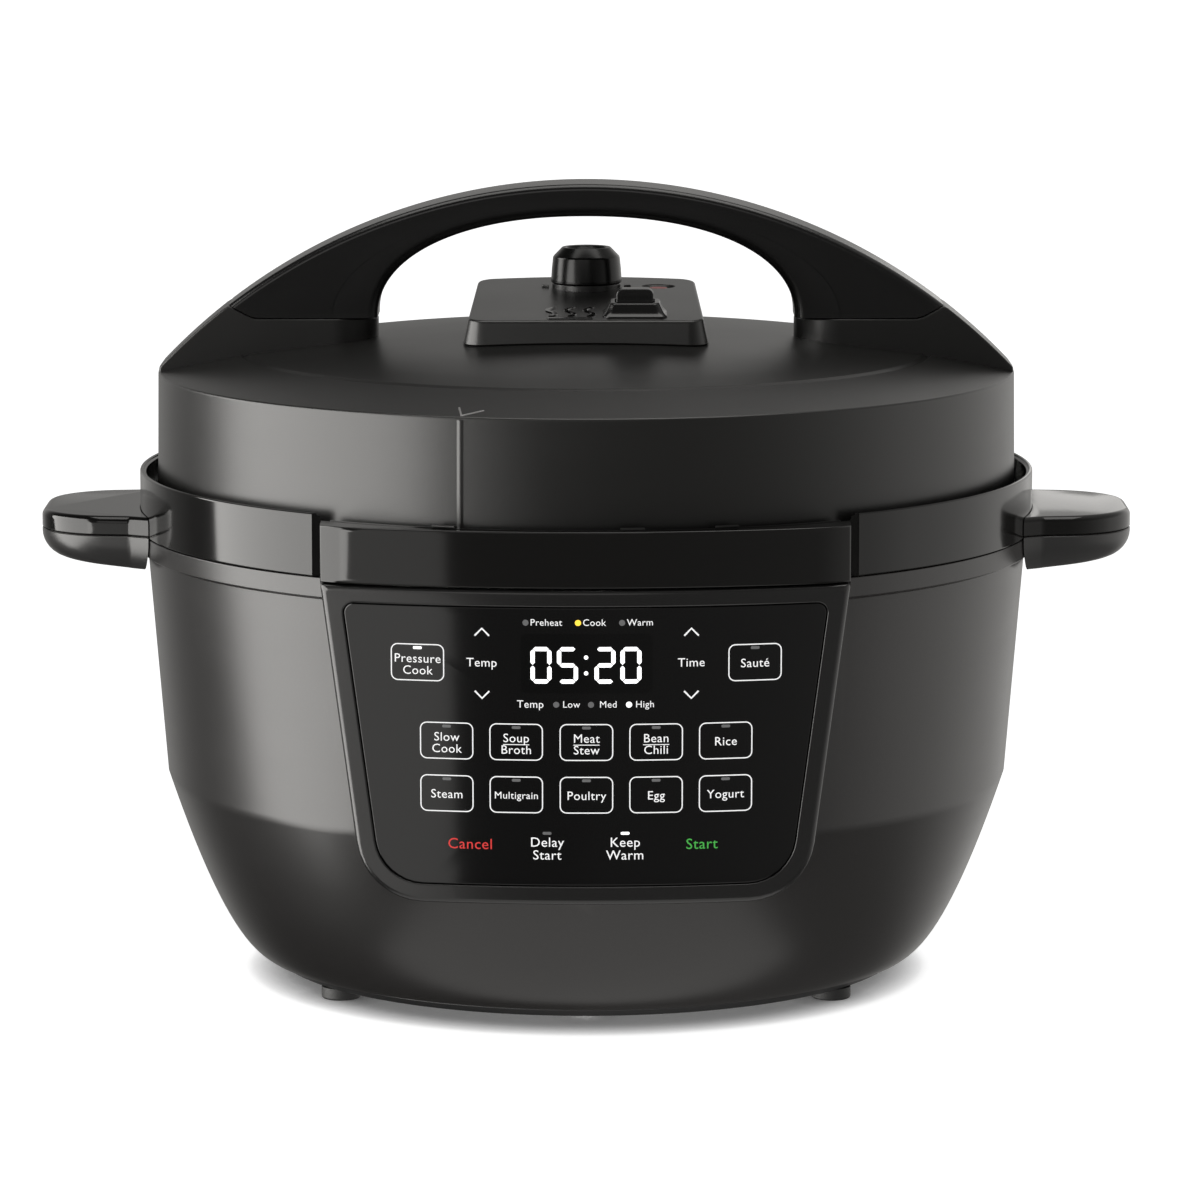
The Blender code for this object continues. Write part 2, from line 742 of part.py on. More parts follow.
def build_fascia():
    low = HOUSING_TOP_Z + GAP
    half = CONSOLE_HALF_TOP
    outline = [(half, low), (half, FASCIA_TOP_Z), (-half, FASCIA_TOP_Z), (-half, low)]
    fascia = plate("front_fascia", [outline], -0.21, -0.12, "XZ", "collar_gloss")
    boolean(fascia, console_slab("fascia_front", 0, 0.08, tilted=False), "INTERSECT")
    core_radius = FASCIA_SEAT_RADIUS + GAP
    boolean(fascia, disc("fascia_core", core_radius, 0.1, 0.25, None, SHELL_SEGMENTS))
    inner = half - FASCIA_WALL
    hollow_outline = [
        (inner, low + FASCIA_WALL),
        (inner, FASCIA_TOP_Z - FASCIA_WALL),
        (-inner, FASCIA_TOP_Z - FASCIA_WALL),
        (-inner, low + FASCIA_WALL),
    ]
    hollow = plate("fascia_hollow", [hollow_outline], -0.21, -0.11, "XZ")
    boolean(hollow, console_slab("fascia_hollow_front", FASCIA_WALL, 0.08, False), "INTERSECT")
    boolean(fascia, hollow)


def build_console():
    outline = console_outline(0, 0, 0, CONSOLE_CORNER)
    bezel = plate("panel_bezel", [outline], -0.21, -0.12, "XZ", "bezel_satin")
    boolean(bezel, console_slab("bezel_front", 0, None), "INTERSECT")
    ledge = console_outline(
        BEZEL_SIDE + PANEL_LEDGE, BEZEL_TOP + PANEL_LEDGE, BEZEL_BOTTOM + PANEL_LEDGE, PANEL_CORNER
    )
    boolean(bezel, plate("bezel_window", [ledge], -0.21, -0.11, "XZ"))
    seat_outline = console_outline(BEZEL_SIDE, BEZEL_TOP, BEZEL_BOTTOM, PANEL_CORNER, 0.004)
    seat = plate("panel_seat", [seat_outline], -0.22, -0.11, "XZ")
    seat_depth = 0.02 + PANEL_SET_BACK + PANEL_THICKNESS + GAP
    boolean(seat, console_slab("panel_seat_depth", -0.02, seat_depth), "INTERSECT")
    boolean(bezel, seat)
    glass_outline = console_outline(
        BEZEL_SIDE + GAP, BEZEL_TOP + GAP, BEZEL_BOTTOM + GAP, PANEL_CORNER, 0.004
    )
    glass = plate("touch_panel", [glass_outline], -0.21, -0.11, "XZ", "panel_gloss")
    slab = console_slab("panel_depth", PANEL_SET_BACK, PANEL_THICKNESS)
    boolean(glass, slab, "INTERSECT")
    build_control_board()


def build_control_board():
    """The flat board behind the panel, tilted with it, and the display that stands off it."""
    size = CONTROL_BOARD_SIZE
    turn = Matrix.Rotation(CONSOLE_TILT, 4, "X")
    board = block("control_board", size, (0, 0, 0), "board_green")
    board.matrix_world = Matrix.Translation((0, CONTROL_BOARD_Y, CONTROL_BOARD_Z)) @ turn
    rise = (DISPLAY_Z - CONTROL_BOARD_Z) / math.cos(CONSOLE_TILT)
    front = PANEL_SET_BACK + PANEL_THICKNESS + CLEARANCE
    panel_y = -CONSOLE_FRONT + front + (HOUSING_TOP_Z - DISPLAY_Z) * math.tan(CONSOLE_TILT)
    sag = DISPLAY_SIZE[0] ** 2 / 8 / CONSOLE_BOW_RADIUS
    board_face = CONTROL_BOARD_Y - rise * math.sin(CONSOLE_TILT) - size[1] / 2 - GAP
    depth = board_face - (panel_y + sag)
    centre_y = board_face - depth / 2
    display = block("display_module", (DISPLAY_SIZE[0], depth, DISPLAY_SIZE[1]), (0, 0, 0), "cover_black")
    display.matrix_world = Matrix.Translation((0, centre_y, DISPLAY_Z)) @ turn


def lug_outline(radius, lug_radius, offset):
    """A round outline with evenly spaced lugs that reach in or out to lug_radius."""
    pitch = 2 * math.pi / LUG_COUNT
    outline = []
    for index in range(LUG_COUNT):
        middle = offset + index * pitch
        outline += arc((0, 0), lug_radius, middle - LUG_ANGLE / 2, middle + LUG_ANGLE / 2, 2)
        start = middle + LUG_ANGLE / 2 + 0.002
        outline += arc((0, 0), radius, start, middle + pitch - LUG_ANGLE / 2 - 0.002, 5)
    return outline


def build_liner():
    flange_radius = LOCK_NECK_RADIUS - GAP
    outside = LINER_RADIUS + LINER_WALL
    under = HEATER_TOP_Z - HEATER_THICKNESS - GAP - LINER_WALL
    profile = [
        (flange_radius, LINER_FLANGE_Z - LINER_WALL),
        (outside, LINER_FLANGE_Z - LINER_WALL),
        (outside, under + LINER_CORNER),
        (outside - LINER_CORNER, under),
        (LINER_OPENING_RADIUS, under),
    ]
    turned_shell("liner_pot", profile, LINER_WALL, "heater_aluminium", INNER_SEGMENTS)
    flange = plate(
        "lock_ring",
        [
            lug_outline(LOCK_RING_RADIUS, BASE_LUG_RADIUS, 0),
            circle(LOCK_RING_INNER_RADIUS, SHELL_SEGMENTS),
        ],
        LOCK_RING_TOP_Z - LOCK_RING_THICKNESS,
        LOCK_RING_TOP_Z,
        finish="pot_steel",
    )
    top = LOCK_RING_TOP_Z - LOCK_RING_THICKNESS / 2
    neck_profile = [
        (LOCK_NECK_RADIUS, top),
        (LOCK_NECK_RADIUS + LOCK_NECK_WALL, top),
        (LOCK_NECK_RADIUS + LOCK_NECK_WALL, LOCK_NECK_BOTTOM_Z),
        (LOCK_NECK_RADIUS, LOCK_NECK_BOTTOM_Z),
    ]
    boolean(flange, turned("lock_neck", neck_profile, segments=INNER_SEGMENTS), "UNION")


def build_heater():
    low = HEATER_TOP_Z - HEATER_THICKNESS
    profile = [
        (HEATER_HOLE_RADIUS, HEATER_TOP_Z),
        (HEATER_RADIUS - 0.004, HEATER_TOP_Z),
        (HEATER_RADIUS, HEATER_TOP_Z - 0.003),
        (HEATER_RADIUS, low),
        (HEATER_HOLE_RADIUS, low),
    ]
    turned("heating_plate", profile, "heater_aluminium", segments=INNER_SEGMENTS)
    tube_z = low - GAP - HEATER_TUBE_RADIUS
    start = -math.pi / 2 + HEATER_TUBE_GAP / 2
    end = start + 2 * math.pi - HEATER_TUBE_GAP
    ring = arc((0, 0), HEATER_TUBE_RING_RADIUS, start, end, 20)
    route = [(x, y, tube_z) for x, y in ring]
    drop = 0.010
    route = [(*ring[0], tube_z - drop), *route, (*ring[-1], tube_z - drop)]
    tube("heater_tube", route, HEATER_TUBE_RADIUS, "screw_steel", sides=1)


def build_sensor():
    cap_low = HEATER_TOP_Z - SENSOR_CAP_THICKNESS
    stem_end = cap_low - SENSOR_STEM_LENGTH
    profile = [
        (0, HEATER_TOP_Z),
        (SENSOR_RADIUS - 0.001, HEATER_TOP_Z),
        (SENSOR_RADIUS, HEATER_TOP_Z - 0.001),
        (SENSOR_RADIUS, cap_low),
        (SENSOR_STEM_RADIUS, cap_low),
        (SENSOR_STEM_RADIUS, stem_end),
        (0, stem_end),
    ]
    turned("sensor_cap", profile, "pot_steel", False, ROUND_SEGMENTS)
    floor = BRACKET_BOTTOM_Z + BRACKET_WALL
    top = HEATER_TOP_Z - HEATER_THICKNESS - GAP
    hole = SENSOR_STEM_RADIUS + CLEARANCE
    bracket = [
        (BRACKET_BORE_RADIUS, top),
        (BRACKET_FLANGE_RADIUS, top),
        (BRACKET_FLANGE_RADIUS, top - BRACKET_FLANGE),
        (BRACKET_BORE_RADIUS + BRACKET_WALL, top - BRACKET_FLANGE),
        (BRACKET_BORE_RADIUS + BRACKET_WALL, BRACKET_BOTTOM_Z),
        (hole, BRACKET_BOTTOM_Z),
        (hole, floor),
        (BRACKET_BORE_RADIUS, floor),
    ]
    turned("sensor_bracket", bracket, "heater_aluminium", segments=ROUND_SEGMENTS)
    coil(
        "sensor_spring", SENSOR_SPRING_RADIUS, SENSOR_SPRING_WIRE, SENSOR_SPRING_TURNS,
        floor + GAP, cap_low - GAP, (0, 0), "screw_steel",
    )


def build_electrics():
    x, y, z = POWER_BOARD_CENTRE
    board = block("power_board", POWER_BOARD_SIZE, POWER_BOARD_CENTRE, "board_green")
    stand = z + TRANSFORMER_SIZE[2] / 2
    boolean(board, block("transformer_core", TRANSFORMER_SIZE, (x, y, stand)), "UNION")
    centre_y = INLET_REAR_Y - INLET_SIZE[1] / 2
    inlet = block("power_inlet", INLET_SIZE, (0, centre_y, INLET_Z), "cover_black")
    flange = block("inlet_flange", INLET_FLANGE_SIZE, (0, inlet_flange_y(), INLET_Z))
    boolean(inlet, flange, "UNION")
    mouth_y = INLET_REAR_Y - SOCKET_SIZE[1] / 2 + 0.005
    mouth = (SOCKET_SIZE[0], SOCKET_SIZE[1] + 0.01, SOCKET_SIZE[2])
    boolean(inlet, block("socket_cutter", mouth, (0, mouth_y, INLET_Z)))
    wide, long, tall = SOCKET_PIN_SIZE
    seat = (wide + 2 * GAP, 0.040, tall + 2 * GAP)
    for number in (1, 2, 3):
        centre = ((number - 2) * SOCKET_PIN_SPACING, SOCKET_PIN_TIP_Y - long / 2, INLET_Z)
        boolean(inlet, block("pin_seat", seat, centre))
        block(f"inlet_pin_{number}", SOCKET_PIN_SIZE, centre, "screw_steel")
    start_y = INLET_REAR_Y - INLET_SIZE[1] - GAP
    board_edge = y + POWER_BOARD_SIZE[1] / 2 + GAP
    route = bezier_route(
        Vector((0, start_y, INLET_Z)),
        Vector((0, 0.040, INLET_Z)),
        Vector((LEAD_X, 0.060, z)),
        Vector((LEAD_X, board_edge, z)),
    )
    tube("mains_lead", route, LEAD_RADIUS, "lead_black", sides=1)


def bezier_route(start, out, back, end, steps=10):
    """Points of a lead that leaves its socket straight and comes straight to the board."""
    points = []
    for i in range(steps + 1):
        t = i / steps
        spot = (
            start * (1 - t) ** 3 + out * 3 * t * (1 - t) ** 2 + back * 3 * t * t * (1 - t) + end * t**3
        )
        points.append(tuple(spot))
    return points


def build_cup():
    """The condensation cup: an open box whose back follows the collar's round."""
    half = CUP_HALF_WIDTH
    reach = CUP_RADIUS + 0.01
    outline = [(half, CUP_FRONT_Y), (half, reach), (-half, reach), (-half, CUP_FRONT_Y)]
    cup = plate("condensation_cup", [outline], CUP_BOTTOM_Z, CUP_TOP_Z, finish="cover_black")
    outside = disc("cup_back", CUP_RADIUS, 0.1, 0.2, None, SHELL_SEGMENTS)
    boolean(cup, outside, "INTERSECT")
    inner = half - CUP_WALL
    low = CUP_FRONT_Y + CUP_WALL
    hollow_outline = [(inner, low), (inner, reach), (-inner, reach), (-inner, low)]
    hollow = plate("cup_hollow", [hollow_outline], CUP_BOTTOM_Z + CUP_WALL, CUP_TOP_Z + 0.01)
    boolean(
        hollow, disc("cup_hollow_back", CUP_RADIUS - CUP_WALL, 0.1, 0.2, None, SHELL_SEGMENTS),
        "INTERSECT",
    )
    boolean(cup, hollow)


def handle_outline():
    """Plan of the right handle, wider where it meets the collar."""
    tip = HANDLE_TIP_X
    half = HANDLE_HALF_WIDTH
    root = HANDLE_ROOT_X
    return rounded(
        [
            (root, -HANDLE_ROOT_HALF_WIDTH, 0),
            (COLLAR_RADIUS + 0.002, -half, 0.006),
            (tip, -half + 0.004, HANDLE_CORNER),
            (tip, half - 0.004, HANDLE_CORNER),
            (COLLAR_RADIUS + 0.002, half, 0.006),
            (root, HANDLE_ROOT_HALF_WIDTH, 0),
        ],
        steps=6,
    )


def build_side_handles():
    core = disc("handle_core", COLLAR_RADIUS + GAP, 0.1, 0.25, None, SHELL_SEGMENTS)
    for side, label in ((-1, "left"), (1, "right")):
        outline = [(side * x, y) for x, y in handle_outline()]
        cap = plate(
            f"{label}_handle_cap", [outline], HANDLE_SEAM_Z, HANDLE_TOP_Z, finish="collar_gloss"
        )
        bevel(cap, HANDLE_TOP_EDGE)
        boolean(cap, core)
        grip = plate(
            f"{label}_handle_grip", [outline], HANDLE_BOTTOM_Z, HANDLE_SEAM_Z - GAP,
            finish="handle_black",
        )
        bevel(grip, HANDLE_BOTTOM_EDGE)
        boolean(grip, core)


# ---- inner pot and lid


def build_pot():
    outside = POT_RADIUS + POT_WALL
    profile = [
        (POT_RIM_RADIUS, POT_RIM_Z - POT_WALL),
        (outside, POT_RIM_Z - POT_WALL),
        *arc((outside - POT_CORNER, POT_BOTTOM_Z + POT_CORNER), POT_CORNER, 0, -math.pi / 2, 4),
        (0, POT_BOTTOM_Z),
    ]
    turned_shell("inner_pot", profile, POT_WALL, "pot_steel")


def build_seal():
    low = POT_RIM_Z + GAP
    high = LID_LINER_Z - LID_LINER_WALL - GAP
    groove = SEAL_INNER_RADIUS + SEAL_GROOVE
    groove_low = low + 1.5 * SEAL_LIP
    groove_high = high - SEAL_LIP
    profile = [
        (SEAL_INNER_RADIUS + 0.002, high),
        (SEAL_RADIUS, high),
        (SEAL_RADIUS, low),
        (SEAL_INNER_RADIUS, low),
        (SEAL_INNER_RADIUS + 0.001, low + SEAL_LIP),
        (groove, groove_low),
        (groove, groove_high),
        (SEAL_INNER_RADIUS + 0.002, high - SEAL_LIP / 2),
    ]
    turned("sealing_ring", profile, "seal_silicone", segments=INNER_SEGMENTS)
    rack_radius = groove - CLEARANCE - RACK_WIRE
    rack_z = (groove_low + groove_high) / 2
    rack = [
        (rack_radius + RACK_WIRE * math.cos(a), rack_z + RACK_WIRE * math.sin(a))
        for a in (math.radians(90 * k) for k in range(4))
    ]
    turned("seal_rack", rack, "screw_steel", segments=INNER_SEGMENTS)


def build_lid_cover():
    crown = lid_crown()
    profile = [
        *crown,
        (LID_RADIUS, LID_EDGE_Z),
        (LID_RADIUS + LID_SKIRT_FLARE, LID_SKIRT_BOTTOM_Z),
        (LID_LINER_RADIUS + GAP, LID_SKIRT_BOTTOM_Z),
    ]
    cover = turned_shell("lid_cover", profile, LID_WALL, "lid_satin")
    boolean(cover, mark_cutter())
    for name, radius, x, y in (
        ("lid_pipe_hole", PIPE_RADIUS + CLEARANCE, 0, VALVE_Y),
        ("lid_float_hole", FLOAT_HEAD_RADIUS + CLEARANCE, FLOAT_X, VALVE_Y),
    ):
        boolean(cover, disc(name, radius, 0.24, 0.27, segments=16, centre=(x, y)))


def mark_cutter():
    """The alignment mark: a fine groove down the skirt that opens as an arrow over the edge."""
    top = LID_EDGE_Z + 0.003
    groove_low = LID_SKIRT_BOTTOM_Z - 0.002
    half = MARK_WIDTH / 2
    arrow_low = LID_EDGE_Z - 0.002
    outline = [
        (half, groove_low),
        (half, arrow_low),
        (MARK_ARROW / 2, top),
        (-MARK_ARROW / 2, top),
        (-half, arrow_low),
        (-half, groove_low),
    ]
    edge = LID_RADIUS - MARK_DEPTH
    cutter = plate("alignment_mark", [outline], -edge - 0.01, -edge, "XZ")
    cutter.matrix_world = Matrix.Rotation(MARK_ANGLE, 4, "Z") @ cutter.matrix_world
    return cutter


def build_lid_liner():
    low = LID_LINER_BOTTOM_Z
    profile = [
        (0, LID_LINER_Z),
        (LID_LINER_RADIUS - 0.004, LID_LINER_Z),
        (LID_LINER_RADIUS, LID_LINER_Z - 0.004),
        (LID_LINER_RADIUS, low),
    ]
    liner = turned_shell("lid_liner", profile, LID_LINER_WALL, "pot_steel")
    wall_middle = LID_LINER_RADIUS - LID_LINER_WALL / 2
    lugs = plate(
        "lid_lugs",
        [
            circle(wall_middle, SHELL_SEGMENTS),
            lug_outline(LID_LINER_RADIUS - LID_LINER_WALL - 0.0005, LID_LUG_INNER_RADIUS, LID_LUG_OFFSET),
        ],
        LID_LUG_Z,
        LID_LUG_Z + LID_LUG_THICKNESS,
    )
    boolean(liner, lugs, "UNION")
    pipe = disc("liner_pipe_hole", PIPE_BORE_RADIUS, 0.2, 0.215, None, 16, (0, VALVE_Y))
    stem_hole = FLOAT_STEM_RADIUS + CLEARANCE
    boolean(liner, pipe)
    boolean(liner, disc("liner_float_hole", stem_hole, 0.2, 0.215, None, 16, (FLOAT_X, VALVE_Y)))


def arch_z(x):
    """Height of the handle's outer arc."""
    return ARCH_TOP_Z - ARCH_RADIUS + math.sqrt(ARCH_RADIUS**2 - x * x)


def oval(half_span, top, exponent, steps, low=ARCH_SPLIT_Z):
    """Right half of a standing oval, from its foot up to the middle line."""
    points = []
    for i in range(steps + 1):
        a = math.pi / 2 * i / steps
        x = half_span * math.cos(a) ** (2 / exponent)
        z = low + (top - low) * math.sin(a) ** (2 / exponent)
        points.append((0.0 if i == steps else x, z))
    return points


def split_line(drop=0.0):
    """Where the arch meets its mount, from the outer arc inwards."""
    outer_z = arch_z(ARCH_SPLIT_OUTER_X)
    return [
        (ARCH_SPLIT_OUTER_X, outer_z - drop),
        (ARCH_SPLIT_BEND_X, ARCH_SPLIT_Z + 0.0002 - drop),
    ]


def build_lid_handle():
    steps = 8
    outer = [(ARCH_SPLIT_OUTER_X * i / steps, arch_z(ARCH_SPLIT_OUTER_X * i / steps)) for i in range(steps)]
    half = [*outer, *split_line(), *oval(SEAM_HALF_SPAN + GAP, SEAM_TOP_Z + GAP, 2.0, steps)]
    width = ARCH_WIDTH / 2
    shell = plate("handle_shell", [mirrored(half)], -width, width, "XZ", "handle_black")
    bevel(shell, ARCH_EDGE, segments=2)
    outer = list(reversed(oval(SEAM_HALF_SPAN, SEAM_TOP_Z, 2.0, steps)))
    inner = oval(GRIP_HALF_SPAN, GRIP_TOP_Z, GRIP_EXPONENT, steps)
    insert = plate("handle_insert", [mirrored(outer + inner)], -width, width, "XZ", "handle_black")
    bevel(insert, GRIP_EDGE, segments=2, angle=math.radians(60))


def build_handle_mounts(envelope):
    """The two feet under the arch, fitted to the lid and rounded towards the middle."""
    low = LID_EDGE_Z - 0.003
    nose = GRIP_HALF_SPAN
    steps = 6
    arc_x = [ARCH_SPLIT_OUTER_X + (LID_RADIUS - ARCH_SPLIT_OUTER_X) * i / steps for i in range(steps + 1)]
    side_view = [(x, arch_z(x) - (GAP if i == 0 else 0)) for i, x in enumerate(arc_x)]
    side_view += [(LID_RADIUS, low), (nose, low), (nose, ARCH_SPLIT_Z - GAP)]
    side_view += [(ARCH_SPLIT_BEND_X, ARCH_SPLIT_Z - GAP)]
    half_width = ARCH_WIDTH / 2
    nose_length = SEAM_HALF_SPAN - GRIP_HALF_SPAN
    nose_arc = [
        (SEAM_HALF_SPAN - nose_length * math.sin(a), half_width * math.cos(a))
        for a in (math.pi * i / 8 for i in range(9))
    ]
    swing = math.asin(half_width / LID_RADIUS)
    plan = nose_arc + arc((0, 0), LID_RADIUS - GAP, -swing, swing, 4)
    for side, label in ((-1, "left"), (1, "right")):
        outline = [(side * x, z) for x, z in side_view]
        mount = plate(
            f"handle_mount_{label}", [outline], -half_width, half_width, "XZ", "lid_satin"
        )
        plan_view = [(side * x, y) for x, y in plan]
        boolean(mount, plate(f"mount_plan_{label}", [plan_view], 0.22, 0.29), "INTERSECT")
        boolean(mount, envelope)


def cover_outline(inset):
    return rounded(
        [
            (COVER_FRONT_HALF - inset, COVER_FRONT_Y + inset, COVER_CORNER),
            (COVER_BACK_HALF - inset, COVER_BACK_Y - inset, COVER_CORNER),
            (-COVER_BACK_HALF + inset, COVER_BACK_Y - inset, COVER_CORNER),
            (-COVER_FRONT_HALF + inset, COVER_FRONT_Y + inset, COVER_CORNER),
        ],
        steps=3,
    )


def sloped_block(name, inset, drop, low, finish=None):
    """A block on the valve cover's plan, with drafted sides and the sloping top."""
    obj = plate(name, [cover_outline(inset)], low, COVER_BACK_Z, finish=finish)
    middle = (low + COVER_BACK_Z) / 2
    shrink = 1 - COVER_DRAFT / COVER_FRONT_HALF
    for vertex in obj.data.vertices:
        spot = obj.matrix_world @ vertex.co
        if spot.z > middle:
            spot.x *= shrink
            spot.y *= shrink
            spot.z = cover_height(spot.y) - drop
            vertex.co = obj.matrix_world.inverted() @ spot
    return obj


def build_valve_cover(envelope):
    cover = sloped_block("valve_cover", 0, 0, 0.245, "lid_satin")
    boolean(cover, envelope)
    boolean(cover, sloped_block("valve_cover_hollow", COVER_WALL, COVER_WALL, 0.240))
    hole = PIPE_RADIUS + 2 * CLEARANCE
    boolean(cover, disc("cover_pipe_hole", hole, 0.255, 0.28, None, 24, (0, VALVE_Y)))
    pin_hole = FLOAT_HEAD_RADIUS + CLEARANCE
    boolean(cover, disc("cover_float_hole", pin_hole, 0.255, 0.28, None, 16, (FLOAT_X, VALVE_Y)))
    dish_low = cover_height(VALVE_Y) - FLOAT_DISH[2]
    dish = disc("float_dish", 1.0, dish_low, 0.28, None, 24, (FLOAT_X, VALVE_Y))
    dish.data.transform(Matrix.Diagonal((FLOAT_DISH[0], FLOAT_DISH[1], 1, 1)))
    boolean(cover, dish)
    slot = (RELEASE_SIZE[0] + 2 * CLEARANCE, RELEASE_SIZE[1] + 2 * CLEARANCE, 0.03)
    boolean(cover, block("cover_release_slot", slot, (RELEASE_X, RELEASE_Y, 0.265)))


def build_steam_valve():
    low = LID_LINER_Z + GAP
    pipe = [
        (PIPE_BORE_RADIUS, PIPE_TOP_Z),
        (PIPE_RADIUS - 0.0008, PIPE_TOP_Z),
        (PIPE_RADIUS, PIPE_TOP_Z - 0.0008),
        (PIPE_RADIUS, low),
        (PIPE_BORE_RADIUS, low),
    ]
    turned("steam_pipe", pipe, "pot_steel", segments=ROUND_SEGMENTS, centre=(0, VALVE_Y))
    bore = PIPE_RADIUS + CLEARANCE
    bore_top = PIPE_TOP_Z + GAP
    rim = 0.0008
    knob = [
        (0, KNOB_TOP_Z - rim),
        (KNOB_CROWN_RADIUS - 2 * rim, KNOB_TOP_Z - rim),
        (KNOB_CROWN_RADIUS - rim, KNOB_TOP_Z),
        (KNOB_CROWN_RADIUS, KNOB_TOP_Z),
        (KNOB_RADIUS - rim, KNOB_SHOULDER_Z + rim),
        (KNOB_RADIUS, KNOB_SHOULDER_Z - rim),
        (KNOB_RADIUS, KNOB_BOTTOM_Z),
        (bore, KNOB_BOTTOM_Z),
        (bore, bore_top),
        (0, bore_top),
    ]
    turned("steam_valve_knob", knob, "handle_black", False, 24, (0, VALVE_Y))
    top = LID_LINER_Z - LID_LINER_WALL - GAP
    low = top - SHIELD_HEIGHT
    shield_profile = [(SHIELD_RADIUS, top), (SHIELD_RADIUS, low), (0, low)]
    shield = turned_shell(
        "vent_shield", shield_profile, SHIELD_WALL, "pot_steel", 16, (0, VALVE_Y)
    )
    for index in range(3):
        slot = block(f"shield_slot_{index + 1}", (0.03, 0.0025, 0.003), (0, VALVE_Y, low + 0.0045))
        slot.rotation_euler = (0, 0, math.pi * index / 3)
        boolean(shield, slot)


def build_float_valve():
    liner_under = LID_LINER_Z - LID_LINER_WALL
    seal_top = liner_under - FLOAT_TRAVEL - CLEARANCE
    stem_end = seal_top + GAP
    pin = [
        (0, FLOAT_TOP_Z),
        (FLOAT_HEAD_RADIUS - 0.0004, FLOAT_TOP_Z),
        (FLOAT_HEAD_RADIUS, FLOAT_TOP_Z - 0.0004),
        (FLOAT_HEAD_RADIUS, FLOAT_TOP_Z - 0.009),
        (FLOAT_STEM_RADIUS, FLOAT_TOP_Z - 0.010),
        (FLOAT_STEM_RADIUS, stem_end),
        (0, stem_end),
    ]
    turned("float_pin", pin, "float_red", False, 16, (FLOAT_X, VALVE_Y))
    low = seal_top - FLOAT_SEAL_HEIGHT
    seal = [(0, seal_top), (FLOAT_SEAL_RADIUS - 0.001, seal_top), (FLOAT_SEAL_RADIUS, low), (0, low)]
    turned("float_seal", seal, "seal_silicone", False, 16, (FLOAT_X, VALVE_Y))


def build_release():
    """The pressure release button in its flared surround, on a small return spring."""
    seat = GAP
    foot, top = SURROUND_FOOT, SURROUND_TOP
    surround = block("release_surround", (1, 1, 1), (0, 0, 0), "handle_black")
    for vertex in surround.data.vertices:
        upper = vertex.co.z > 0
        size = top if upper else foot
        vertex.co.x = RELEASE_X + math.copysign(size[0] / 2, vertex.co.x)
        vertex.co.y = RELEASE_Y + math.copysign(size[1] / 2, vertex.co.y)
        height = SURROUND_HEIGHT if upper else seat
        vertex.co.z = cover_height(vertex.co.y) + height
    slot = (RELEASE_SIZE[0] + 2 * CLEARANCE, RELEASE_SIZE[1] + 2 * CLEARANCE, 0.03)
    boolean(surround, block("surround_slot", slot, (RELEASE_X, RELEASE_Y, 0.268)))
    lid_top = lid_height(math.hypot(RELEASE_X, RELEASE_Y))
    spring_low = lid_top + 2 * GAP
    button_low = spring_low + RELEASE_SPRING_HEIGHT + GAP
    centre = (RELEASE_X, RELEASE_Y, (button_low + RELEASE_TOP_Z) / 2)
    button = block(
        "release_button", (*RELEASE_SIZE, RELEASE_TOP_Z - button_low), centre, "handle_black"
    )
    bevel(button, 0.0006, segments=1)
    coil(
        "release_spring", RELEASE_SPRING_RADIUS, RELEASE_SPRING_WIRE, RELEASE_SPRING_TURNS,
        spring_low, spring_low + RELEASE_SPRING_HEIGHT, (RELEASE_X, RELEASE_Y), "screw_steel",
    )


clear_scene()
COOKER = new_collection("electric_pressure_cooker")
CUTTERS = new_collection("cutters")
build_housing()
build_bottom()
build_collar()
build_fascia()
build_console()
build_liner()
build_heater()
build_sensor()
build_electrics()
build_cup()
build_side_handles()
build_pot()
build_seal()
build_lid_cover()
build_lid_liner()
build_lid_handle()
lid_top_cutter = lid_envelope()
build_handle_mounts(lid_top_cutter)
build_valve_cover(lid_top_cutter)
build_steam_valve()
build_float_valve()
build_release()
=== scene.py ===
import math
import bmesh
import bpy
from mathutils import Matrix, Vector


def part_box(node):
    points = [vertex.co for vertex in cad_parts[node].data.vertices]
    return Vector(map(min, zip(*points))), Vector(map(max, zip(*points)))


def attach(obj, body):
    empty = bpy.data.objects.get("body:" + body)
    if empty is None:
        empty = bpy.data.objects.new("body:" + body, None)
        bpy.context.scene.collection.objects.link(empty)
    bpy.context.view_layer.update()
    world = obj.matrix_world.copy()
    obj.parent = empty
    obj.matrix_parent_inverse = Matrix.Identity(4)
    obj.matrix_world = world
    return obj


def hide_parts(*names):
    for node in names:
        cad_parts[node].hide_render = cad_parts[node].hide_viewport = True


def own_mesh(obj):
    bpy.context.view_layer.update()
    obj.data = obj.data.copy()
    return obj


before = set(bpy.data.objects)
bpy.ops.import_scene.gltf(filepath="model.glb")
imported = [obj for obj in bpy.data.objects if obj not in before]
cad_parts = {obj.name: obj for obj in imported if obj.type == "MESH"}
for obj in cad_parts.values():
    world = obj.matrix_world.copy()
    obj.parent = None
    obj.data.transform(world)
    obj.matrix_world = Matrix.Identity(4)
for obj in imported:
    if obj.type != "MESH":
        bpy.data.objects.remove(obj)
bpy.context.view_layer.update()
print("frame loaded,", len(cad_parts), "nodes")

scene = bpy.context.scene
scene.view_settings.view_transform = "Standard"
hair = 0.0003  # gap between pieces that touch, as in the frame


def newGroup(name, inputs, outputs):
    # inputs give each number's name and first value
    group = bpy.data.node_groups.new(name, "ShaderNodeTree")
    for socketName, value in inputs.items():
        socket = group.interface.new_socket(name=socketName, in_out="INPUT", socket_type="NodeSocketFloat")
        socket.default_value = value
    for socketName in outputs:
        group.interface.new_socket(name=socketName, in_out="OUTPUT", socket_type="NodeSocketFloat")
    return group, group.nodes.new("NodeGroupInput").outputs, group.nodes.new("NodeGroupOutput")


